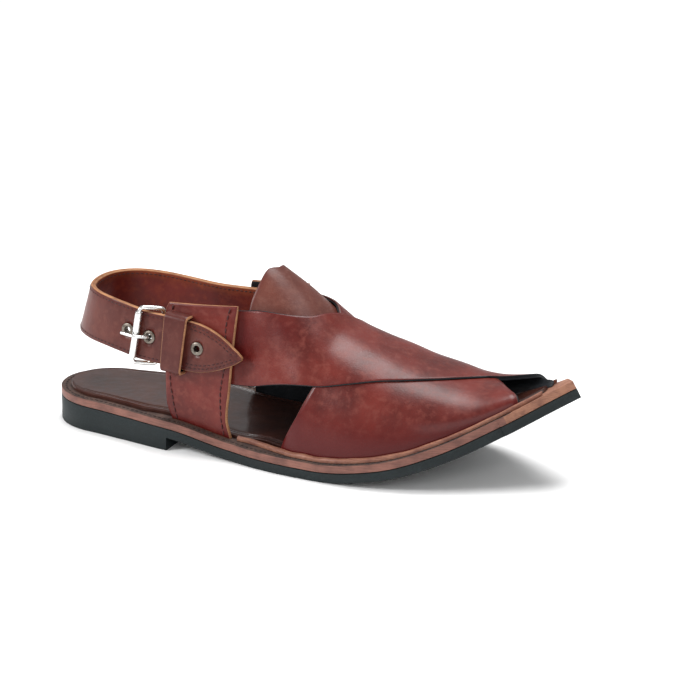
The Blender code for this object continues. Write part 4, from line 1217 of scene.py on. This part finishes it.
@dataclass
class Vamp:
    """The two straps that cross over the toes, with their lining, and the tongue under them."""

    last: Last
    wall: float = 2.2 * MM
    lining: float = 0.8 * MM
    glue: float = 0.05 * MM
    step: float = 1.2 * MM
    draw_from: float = 0.70
    waves: float = 0.15 * MM
    wave_pitch: float = 38 * MM
    tongue_waves: float = 0.2 * MM
    tongue_pitch: float = 30 * MM
    clearance: float = 0.3 * MM
    tongue_wall: float = 2.0 * MM
    long_steps: int = 132
    wide_steps: int = 44

    def relief(self, x: Array, turn: Array) -> Array:
        """Height of the creases over the smooth last.

        Args:
            x: places along the shoe.
            turn: turn round the last at each place.

        Returns:
            One height a place.
        """
        total = self.waves * ripple(self.last.point(x, turn), self.wave_pitch, 21)
        for crease in CREASES:
            total = total + crease.height * bell(x / self.last.length, crease.at, crease.long) * bell(
                turn, crease.turn, crease.round)
        return total

    def places(self, over: bool, start: float = 0.0, end: float = 0.0) -> tuple[Array, ...]:
        """Grid of a strap: places, turns, lift over the last, and shares along and across.

        Args:
            over: whether it is the strap on top.
            start: share of the width by which the front edge is let out at the ankle.
            end: the same towards the toe.

        Returns:
            The five grids in that order.
        """
        along = np.linspace(0, 1, self.long_steps + 1)[:, None]
        across = np.linspace(0, 1, self.wide_steps + 1)[None, :]
        front = (FRONT_ALONG, OVER_AT, OVER_ROUND) if over else (UNDER_ALONG, UNDER_AT, UNDER_ROUND)
        rear_at = interpolate(REAR_ALONG, REAR_AT, along)
        rear_turn = interpolate(REAR_ALONG, REAR_ROUND, along)
        front_at = interpolate(front[0], front[1], along)
        front_turn = interpolate(front[0], front[2], along)
        share = across * (1 + start + (end - start) * ramp(0.25, 0.75, along))
        x = self.last.length * (rear_at + (front_at - rear_at) * share)
        turn = rear_turn + (front_turn - rear_turn) * share
        drawn = 1 - ramp(self.draw_from, 1.0, turn)
        turn = turn * (Side.MEDIAL if over else Side.LATERAL).value
        lift = (self.step if over else 0.0) * drawn + self.relief(x, turn) * drawn
        return x, turn, lift, along + 0 * across, across + 0 * along

    def strap(self, over: bool, looks: Finishes) -> None:
        """Builds one strap: the leather, and its lining just inside.

        Args:
            over: whether it is the strap on top.
            looks: the shoe's materials.
        """
        word = "over" if over else "under"
        x, turn, lift, along, across = self.places(over)
        inner = self.last.off(x, turn, lift + self.lining + self.glue)
        outer = self.last.off(x, turn, lift + self.wall)
        rim = np.minimum.reduce([along, 1 - along, across, 1 - across])
        if over:
            # Dark patches near the over strap's ankle end, by the quarter: painted shade; the narrow bands
            # along both long edges are burnished edges
            shade = bell(along, 0.08, 0.07) * bell(across, 0.42, 0.42)
            shade += 0.55 * bell(along, 0.24, 0.07) * bell(across, 0.22, 0.20)
            shade += 0.25 * bell(across, 1.0, 0.05) + 0.2 * bell(across, 0, 0.04)
        else:
            # Darker towards the under strap's lateral foot at the sole: painted shade; the narrow band along
            # its rear edge is a burnished edge
            shade = bell(turn, Side.LATERAL.value, 0.24) + 0.3 * bell(across, 0, 0.05)
        shade = np.clip(shade + 0.25 * bell(rim, 0, 0.012), 0, 1)
        made = sheet("vamp_%s_leather" % word, inner, outer, shades={"burnish": shade})
        cut = looks.lining if over else looks.brown_edge
        finish_piece(made, "burgundy_leather", ("upper",), looks.upper, cut, looks.brown_edge)
        x, turn, lift, _, _ = self.places(over, 0.004, 0.030 if over else 0.006)
        made = sheet("vamp_%s_lining" % word, self.last.off(x, turn, lift),
                     self.last.off(x, turn, lift + self.lining))
        finish_piece(made, "burgundy_leather", (), looks.lining, looks.lining, looks.lining)

    def tongue(self, looks: Finishes) -> None:
        """Builds the tongue with its lining.

        Args:
            looks: the shoe's materials.
        """
        across = np.linspace(TONGUE_TURN[0], TONGUE_TURN[-1], 61)[None, :]
        share = np.linspace(0, 1, 61)[:, None]
        rear = interpolate(TONGUE_TURN, TONGUE_REAR, across)
        front = interpolate(TONGUE_TURN, TONGUE_FRONT, across)
        x = self.last.length * (rear + (front - rear) * share)
        turn = across + 0 * share
        wave = self.tongue_waves * ripple(self.last.point(x, turn), self.tongue_pitch, 8)
        outer = self.last.off(x, turn, wave - self.clearance)
        middle = self.last.off(x, turn, wave - self.clearance - self.tongue_wall * 0.6)
        inner = self.last.off(x, turn, wave - self.clearance - self.tongue_wall)
        shade = 0.5 * bell(share + 0 * across, 0, 0.03)
        made = sheet("tongue_leather", middle, outer, shades={"burnish": shade})
        finish_piece(made, "tongue_leather", ("tongue",), looks.tongue, looks.brown_edge, looks.lining)
        made = sheet("tongue_lining", inner, middle)
        finish_piece(made, "tongue_leather", (), looks.lining, looks.lining, looks.lining)

    def build(self, looks: Finishes) -> None:
        """Builds the straps and the tongue.

        Args:
            looks: the shoe's materials.
        """
        self.strap(False, looks)
        self.strap(True, looks)
        self.tongue(looks)


@dataclass
class Quarters:
    """Ankle pieces, folded on the real shoe but built as plain sheets, with their raw front edge and seams.
    """

    last: Last
    wall: float = 2.4 * MM
    lining: float = 0.9 * MM
    top: float = 79.5 * MM
    fall: float = 1.3 * MM
    seam_inset: float = 0.10
    seam_wander: float = 0.022

    def grid(self, side: Side, offset: Array, share: Array, across: Array) -> Array:
        """Points of a quarter at shares of its height and width.

        Args:
            side: side of the shoe.
            offset: distance out from the last.
            share: shares of the height.
            across: shares of the width, from the rear.

        Returns:
            One point a share.
        """
        rear = interpolate(QUARTER_LEVEL, QUARTER_EDGES[side][0], share)
        front = interpolate(QUARTER_LEVEL, QUARTER_EDGES[side][1], share)
        x = self.last.length * (rear + (front - rear) * across)
        floor, _ = self.last.seat(x)
        top = self.top - self.fall * (1 - across) - floor
        turn = self.last.turn_at(x, top * share, side)
        return self.last.off(x, turn, offset + 0 * x)

    def build_side(self, side: Side, looks: Finishes) -> list[Array]:
        """Builds one quarter.

        Args:
            side: which one.
            looks: the shoe's materials.

        Returns:
            Lines of its seams.
        """
        share = np.linspace(0, 1, 61)[:, None]
        across = np.linspace(0, 1, 41)[None, :]
        thick = self.wall * (0.72 + 0.28 * ramp(0.0, 0.10, 1 - share)) + 0 * across
        # Painted shade darkens the quarter towards its foot; it is also darker along its front edge, and
        # burnished in narrow bands along its top and rear edges
        shade = 0.5 * bell(share, 0.0, 0.10) + 0.45 * bell(across, 1.0, 0.10) + 0.25 * bell(share, 1, 0.03)
        shade = shade + 0.3 * bell(across, 0, 0.03)
        stand = self.last.quarter_standoff
        outer = self.grid(side, stand + thick, share, across)
        inner = self.grid(side, np.asarray(stand + self.lining), share, across)
        word = side.name.lower()
        made = sheet("quarter_%s_leather" % word, inner, outer, shades={"burnish": np.clip(shade, 0, 1)})
        finish_piece(made, "burgundy_leather", ("quarter_%s" % word,), looks.upper, looks.tan_edge,
                     looks.lining)
        back = self.grid(side, np.asarray(stand), share, across)
        made = sheet("quarter_%s_lining" % word, back, inner)
        finish_piece(made, "burgundy_leather", (), looks.lining, looks.tan_edge, looks.lining)
        level = np.linspace(0.03, 0.965, 120)
        lines = []
        for place in (1 - self.seam_inset, self.seam_inset * 0.9):
            wave = place + self.seam_wander * np.sin(level * 13)
            lines.append(self.grid(side, stand + self.wall * 1.03, level, wave))
        return lines

    def build(self, looks: Finishes) -> None:
        """Builds both quarters and their seams.

        Args:
            looks: the shoe's materials.
        """
        lines = self.build_side(Side.LATERAL, looks) + self.build_side(Side.MEDIAL, looks)
        StitchRow("quarter_stitches", pitch=3.4 * MM, length=3.0 * MM, radius=0.58 * MM, wobble=0.45, seed=5,
                  lines=lines).build(looks.red_thread, "burgundy_leather")


@dataclass
class BackStrap:
    """Two-layer strap round the heel, its holes and keeper."""

    last: Last
    width: float = 26.5 * MM
    thickness: float = 3.0 * MM
    layer_gap: float = 0.25 * MM
    layer_groove: float = 0.3 * MM
    point_length: float = 31 * MM
    clearance: float = 0.3 * MM
    quarter_face: float = 6.3 * MM
    keeper_at: float = 74.2 * MM
    keeper_length: float = 11.8 * MM
    keeper_wall: float = 1.8 * MM
    keeper_room: float = 2.4 * MM
    tip_at: float = 118 * MM
    fall: float = 6.6 * MM
    start_height: float = 0.685
    start_at: float = 0.205
    flat_from: float = 0.262
    medial_end: tuple[float, float] = (79.7 * MM, 103 * MM)
    medial_height: float = 62.6 * MM
    medial_gap: float = 1.1 * MM
    seam_inset: float = 1.9 * MM
    seam_end: float = 1.2 * MM
    doubled_points: int = 30
    lateral_points: int = 60
    hole: float = 5.4 * MM
    hole_places: tuple[float, ...] = (51.5 * MM, 64.2 * MM, 76.9 * MM, 92.7 * MM)
    keys: tuple[tuple[float, float, float, float], ...] = (
        (0.205, -0.338, 0.685, 0.08), (0.176, -0.332, 0.705, 0.09), (0.136, -0.312, 0.728, 0.12),
        (0.092, -0.252, 0.740, 0.20), (0.062, -0.150, 0.742, 0.26), (0.052, 0.000, 0.742, 0.28),
        (0.062, 0.130, 0.740, 0.26), (0.095, 0.222, 0.735, 0.20), (0.145, 0.255, 0.728, 0.14),
        (0.200, 0.255, 0.715, 0.10))

    def height(self, x: float) -> float:
        """Height of the middle line on the lateral side."""
        start = self.start_at * self.last.length
        return self.last.instep_height * self.start_height - self.fall * (x - start) / (self.tip_at - start)

    def beside(self, x: float, extra: float) -> tuple[Array, Array]:
        """Point outside the lateral quarter on the middle line, and the way up its face.

        Args:
            x: place along the shoe.
            extra: distance out from the quarter.

        Returns:
            The point and the direction.
        """
        last = self.last
        height = self.height(x) - float(last.seat(x)[0])
        turn = last.turn_at(x, height, Side.LATERAL)
        above = last.point(x, last.turn_at(x, height + 0.3 * self.width, Side.LATERAL))
        below = last.point(x, last.turn_at(x, height - 0.3 * self.width, Side.LATERAL))
        return last.off(x, turn, np.asarray(self.quarter_face + extra)), unit(above - below)

    def line(self) -> tuple[Array, Array]:
        """Middle line, tip first, with its up directions.

        Returns:
            The points and the directions.
        """
        last = self.last
        offset = self.clearance + self.thickness / 2
        points, ups = [], []
        for x in np.linspace(self.tip_at, last.length * self.flat_from, 41):
            point, up = self.beside(float(x), offset)
            points.append(point)
            ups.append(up)
        keys, key_ups = [points[-1]], [ups[-1]]
        for at, of_ball, of_height, lean in self.keys:
            sizes = np.array((last.length, last.ball_width, last.instep_height))
            keys.append(sizes * (at, of_ball, of_height))
            inward = np.array((self.keeper_at, 0, 0)) - keys[-1]
            inward[2] = 0
            key_ups.append(unit(np.array((0, 0, 1.0)) + lean * unit(inward)))
        inside = last.quarter_standoff - self.medial_gap - self.thickness / 2
        for x in self.medial_end:
            turn = last.turn_at(x, self.medial_height - float(last.seat(x)[0]), Side.MEDIAL)
            keys.append(last.off(x, turn, np.asarray(inside)))
            key_ups.append(unit(last.point(x, turn * 0.94) - last.point(x, turn * 1.06)))
        keys, key_ups = np.array(keys), np.array(key_ups)
        chord = np.concatenate(([0], np.cumsum(np.linalg.norm(np.diff(keys, axis=0), axis=1))))
        for s in np.linspace(0, chord[-1], 131)[1:]:
            points.append(self.spline(chord, keys, s))
            ups.append(unit(self.spline(chord, key_ups, s)))
        return np.array(points), np.array(ups)

    @staticmethod
    def spline(chord: Array, keys: Array, s: float) -> Array:
        """Smooth curve through key points, by the length of their chords.

        Args:
            chord: length of the chords up to each key.
            keys: key points.
            s: length that is asked for.

        Returns:
            The point there.
        """
        k = int(min(max(np.searchsorted(chord, s, side="right") - 1, 0), len(keys) - 2))
        before, after = max(k - 1, 0), min(k + 2, len(keys) - 1)
        step = chord[k + 1] - chord[k]
        start = (keys[k + 1] - keys[before]) / (chord[k + 1] - chord[before]) * step
        end = (keys[after] - keys[k]) / (chord[after] - chord[k]) * step
        t = (s - chord[k]) / step
        value = keys[k] * (1 + 2 * t) * (1 - t) ** 2 + start * t * (1 - t) ** 2
        return value + keys[k + 1] * t * t * (3 - 2 * t) - end * t * t * (1 - t)

    def frames(self) -> tuple[Array, Array, Array, Array, Array]:
        """Middle line with its ahead, up and out directions and half widths.

        Returns:
            Points, directions ahead, up and out, and half widths.
        """
        points, ups = self.line()
        ahead = unit(np.gradient(points, axis=0))
        up = unit(ups - ahead * np.sum(ups * ahead, axis=1, keepdims=True))
        out = unit(np.cross(up, ahead))
        gone = np.concatenate(([0], np.cumsum(np.linalg.norm(np.diff(points, axis=0), axis=1))))
        share = np.minimum(gone / self.point_length, 1)
        half = self.width / 2 * (0.06 + 0.94 * np.sin(share * math.pi / 2) ** 0.85)
        return points, ahead, up, out, half

    def frame_at(self, x: float) -> tuple[Array, Array, Array, Array]:
        """Middle of the lateral run at a place, with its directions along, up and out.

        Args:
            x: place along the shoe.

        Returns:
            The point and the three directions.
        """
        points, _, up, _, _ = self.frames()
        run = points[:self.lateral_points]
        k = int(np.argmin(np.abs(run[:, 0] - x)))
        k = k if run[k, 0] >= x else k - 1
        t = (x - run[k, 0]) / (run[k + 1, 0] - run[k, 0])
        middle = run[k] + (run[k + 1] - run[k]) * t
        along = unit(run[k] - run[k + 1])
        high = unit(up[k] - along * np.dot(up[k], along))
        out = np.cross(along, high)
        return middle, along, high, out if out[1] < 0 else -out

    def build_strap(self, looks: Finishes) -> None:
        """Builds the strap: dyed outside, red inside, raw edges with the seam of its two layers.

        Args:
            looks: the shoe's materials.
        """
        points, _, up, out, half = self.frames()
        t = self.thickness / 2
        round_off, proud = 0.12 * MM, 0.05 * MM
        rings = []
        for p, u, o, h in zip(points, up, out, half):
            soft = min(0.5 * MM, h * 0.4)
            ring = []
            for sign in (1, -1):
                upper = [(h * 0.5, t), (h - soft * 1.6, t), (h - soft * 0.5, t - round_off), (h, t - soft),
                         (h + proud, self.layer_gap)]
                part = upper + [(h - self.layer_groove, 0.0)] + [(a, -b) for a, b in upper[::-1]]
                part = part if sign > 0 else part[::-1]
                ring += [p + u * a * sign + o * b for a, b in part]
            rings.append(ring)
        kinds = [0] * 2 + [1] * 6 + [2] * 5 + [1] * 6 + [0] * 3
        made = loft("back_strap", np.array(rings), kinds=kinds, sharp=55, cap_kind=1)
        for place in self.hole_places:
            self.punch(made, place)
        settled = corners(made)
        at = nearest(settled, points)
        offset = np.abs(np.sum((settled - points[at]) * up[at], axis=1)) / half[at]
        paint(made, "burnish", np.clip(0.55 * ramp(0.72, 1.0, offset), 0, 1))
        finish_piece(made, "strap_leather", ("heel_strap",), looks.strap, looks.tan_edge, looks.strap_inside)

    def punch(self, strap: bpy.types.Object, place: float) -> None:
        """Cuts one round hole.

        Args:
            strap: piece that is punched.
            place: place of the hole along the shoe.
        """
        middle, along, up, out = self.frame_at(place)
        rings = []
        for depth in (-self.thickness, self.thickness):
            rings.append([middle + out * depth + (along * math.cos(a) + up * math.sin(a)) * self.hole / 2
                          for a in np.linspace(0, 2 * math.pi, 29)[:-1]])
        tool = loft("hole_tool", np.array(rings))
        step = strap.modifiers.new("hole", "BOOLEAN")
        step.operation = "DIFFERENCE"
        step.solver = "EXACT"
        step.object = tool
        strap.data = worked_mesh(strap)
        bpy.data.objects.remove(tool)

    def build_seams(self, looks: Finishes) -> None:
        """Builds the stitch rows near both edges, doubled at the pointed end.

        Args:
            looks: the shoe's materials.
        """
        points, _, up, out, half = self.frames()
        face = points + out * self.thickness / 2
        back = points - out * self.thickness / 2
        inset = self.seam_inset
        lines = []
        keep = half > inset + self.seam_end
        for sign in (1, -1):
            edge = (half - inset)[:, None] * up * sign
            lines += [(face + edge)[keep], (back + edge)[keep]]
        inner = (half - 2 * inset)[:, None]
        near = (half > 2 * inset + MM) & (np.arange(len(half)) < self.doubled_points)
        lines += [(face + inner * up)[near], (face - inner * up)[near]]
        StitchRow("back_strap_stitches", pitch=2.5 * MM, length=2.0 * MM, radius=0.44 * MM, seed=9,
                  lines=lines).build(looks.red_thread, "strap_leather")

    def build_keeper(self, looks: Finishes) -> None:
        """Builds the loop over the strap's end.

        Args:
            looks: the shoe's materials.
        """
        half = self.width / 2 + MM
        floor, roof, soft = -self.thickness / 2, self.thickness / 2 + self.keeper_room, self.keeper_room / 2
        bend = [(math.cos(a), math.sin(a)) for a in np.linspace(0, math.pi / 2, 7)]
        outline = [(half, floor)] + [(half - soft + soft * c, roof - soft + soft * s) for c, s in bend]
        outline += [(-a, b) for a, b in outline[::-1]]
        grow = soft + self.keeper_wall
        outer = [(half + self.keeper_wall, floor)]
        outer += [(half - soft + grow * c, roof - soft + grow * s) for c, s in bend]
        outer += [(-a, b) for a, b in outer[::-1]]
        inner_grid, outer_grid = [], []
        for x in np.linspace(self.keeper_at, self.keeper_at + self.keeper_length, 15):
            middle, _, up, out = self.frame_at(float(x))
            inner_grid.append([middle + up * a + out * b for a, b in outline])
            outer_grid.append([middle + up * a + out * b for a, b in outer])
        inner, outside = np.array(inner_grid), np.array(outer_grid)
        share = np.linspace(0, 1, inner.shape[0])[:, None] + np.zeros(inner.shape[:2])
        shade = 0.25 + 0.3 * bell(share, 0, 0.2) + 0.35 * bell(share, 1, 0.12)
        made = sheet("keeper_leather", inner, outside, shades={"burnish": shade})
        finish_piece(made, "burgundy_leather", ("keeper",), looks.strap, looks.tan_edge, looks.lining)

    def build(self, looks: Finishes) -> None:
        """Builds the strap, its seams and its keeper.

        Args:
            looks: the shoe's materials.
        """
        self.build_strap(looks)
        self.build_seams(looks)
        self.build_keeper(looks)


@dataclass
class Trim:
    """Buckle, eyelets and tab: smoother copies of the solids."""

    levels: int = 2
    hold: float = 0.85

    def refined(self, node: str, levels: int, sharp: float) -> bpy.types.Object:
        """Merged and subdivided copy of a solid.

        Args:
            node: name of the solid.
            levels: subdivision steps.
            sharp: angle in degrees past which an edge is held.

        Returns:
            The new object.
        """
        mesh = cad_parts[node].data.copy()
        mesh.name = node + "_part"
        work = bmesh.new()
        work.from_mesh(mesh)
        bmesh.ops.remove_doubles(work, verts=work.verts, dist=0.002 * MM)
        bmesh.ops.join_triangles(work, faces=work.faces, angle_face_threshold=math.radians(8),
                                 angle_shape_threshold=math.radians(40))
        crease = work.edges.layers.float.new("crease_edge")
        for edge in work.edges:
            if len(edge.link_faces) == 2 and edge.calc_face_angle(0) > math.radians(sharp):
                edge[crease] = self.hold
        work.to_mesh(mesh)
        work.free()
        made = place_object(mesh.name, mesh)
        step = made.modifiers.new("smooth", "SUBSURF")
        step.levels = levels
        step.render_levels = levels
        made.data = worked_mesh(made)
        made.data.shade_smooth()
        return made

    def build(self, looks: Finishes) -> None:
        """Builds and dresses each piece.

        Args:
            looks: the shoe's materials.
        """
        for node, sharp in (("buckle_frame", 75), ("buckle_prong", 60), ("buckle_roller", 60)):
            finish_piece(self.refined(node, self.levels, sharp), "buckle_steel", (node,), looks.steel)
        for number in range(1, 5):
            node = "eyelet_%d" % number
            finish_piece(self.refined(node, self.levels, 60), "eyelet_metal", (node,), looks.ring)
        finish_piece(self.refined("buckle_tab", 1, 35), "tan_leather", ("buckle_tab",), looks.suede)


LIGHTS = (
    ("key_light", (-0.95, -0.78, 0.82), 0.45, 15.0, (-0.03, 0, 0.05)),
    ("top_light", (0.10, 0.35, 1.40), 0.8, 22.0, (0.05, 0, 0.03)),
    ("front_light", (0.7, -1.3, 0.8), 0.9, 6.0, (0, 0, 0.03)),
)


@dataclass
class Studio:
    """Pale floor, soft light and the camera at the photo's angle."""

    azimuth: float = 22.8
    elevation: float = 18.5
    distance: float = 1.850
    pixels_per_metre: float = 1890.0
    frame_pixels: float = 700.0
    sky_strength: float = 0.42
    aim_x: float = 320.7
    aim_y: float = 392.3
    aim_point: tuple[float, float, float] = (0.0016, 0.0040, 0.030)

    def build_camera(self) -> None:
        """Sets the camera."""
        az, el = math.radians(self.azimuth), math.radians(self.elevation)
        back = Vector((math.sin(az) * math.cos(el), -math.cos(az) * math.cos(el), math.sin(el)))
        right = Vector((math.cos(az), math.sin(az), 0))
        up = back.cross(right)
        scale = self.pixels_per_metre
        middle = self.frame_pixels / 2
        aside, above = (middle - self.aim_x) / scale, (middle - self.aim_y) / scale
        aim = Vector(self.aim_point) + right * aside - up * above
        data = bpy.data.cameras.new("camera")
        data.sensor_width = 36
        data.lens = scale * self.distance / self.frame_pixels * data.sensor_width
        data.clip_start = 0.05
        camera = place_object("camera", data)
        turned = Matrix((right, up, back)).transposed().to_4x4()
        camera.matrix_world = Matrix.Translation(aim + back * self.distance) @ turned
        bpy.context.scene.camera = camera

    def add_light(self, name: str, place: Colour, size: float, watts: float, aim: Colour) -> None:
        """Soft square light turned to a point.

        Args:
            name: name of the light.
            place: where it stands.
            size: length of its side.
            watts: its power.
            aim: point that it faces.
        """
        data = bpy.data.lights.new(name, "AREA")
        data.size = size
        data.energy = watts
        lamp = place_object(name, data)
        lamp.location = place
        lamp.rotation_euler = (Vector(aim) - Vector(place)).to_track_quat("-Z", "Y").to_euler()

    def build_floor(self) -> None:
        """Pale plain floor that rises behind the shoe."""
        profile = [(-3.0, 0.0), (2.2, 0.0), (2.7, 0.06), (3.1, 0.30), (3.3, 0.7), (3.4, 3.5)]
        mesh = bpy.data.meshes.new("studio_floor")
        points = [(x, y, z) for x in (-5.0, 5.0) for y, z in profile]
        count = len(profile)
        mesh.from_pydata(points, [], [(k, count + k, count + k + 1, k + 1) for k in range(count - 1)])
        mesh.shade_smooth()
        floor = place_object("studio_floor", mesh)
        made, _, shader, _ = blank_material("pale_floor")
        shader.inputs["Base Color"].default_value = (0.96, 0.96, 0.96, 1)
        shader.inputs["Roughness"].default_value = 0.7
        mesh.materials.append(made)

    def build(self) -> None:
        """Builds the camera, floor and lights."""
        self.build_camera()
        self.build_floor()
        world = bpy.data.worlds.new("studio")
        world.use_nodes = True
        sky = world.node_tree.nodes["Background"]
        sky.inputs["Color"].default_value = (1, 1, 1, 1)
        sky.inputs["Strength"].default_value = self.sky_strength
        bpy.context.scene.world = world
        bpy.context.scene.view_settings.view_transform = "Standard"
        for light in LIGHTS:
            self.add_light(*light)


def main() -> None:
    """Builds the shoe's sub-assemblies in order."""
    logging.basicConfig(level=logging.INFO, format="%(message)s")
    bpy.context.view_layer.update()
    last = Last()
    Studio().build()
    looks = mix_finishes()
    SoleUnit(last).build(looks)
    Vamp(last).build(looks)
    Quarters(last).build(looks)
    BackStrap(last).build(looks)
    Trim().build(looks)


if __name__ == "__main__":
    main()
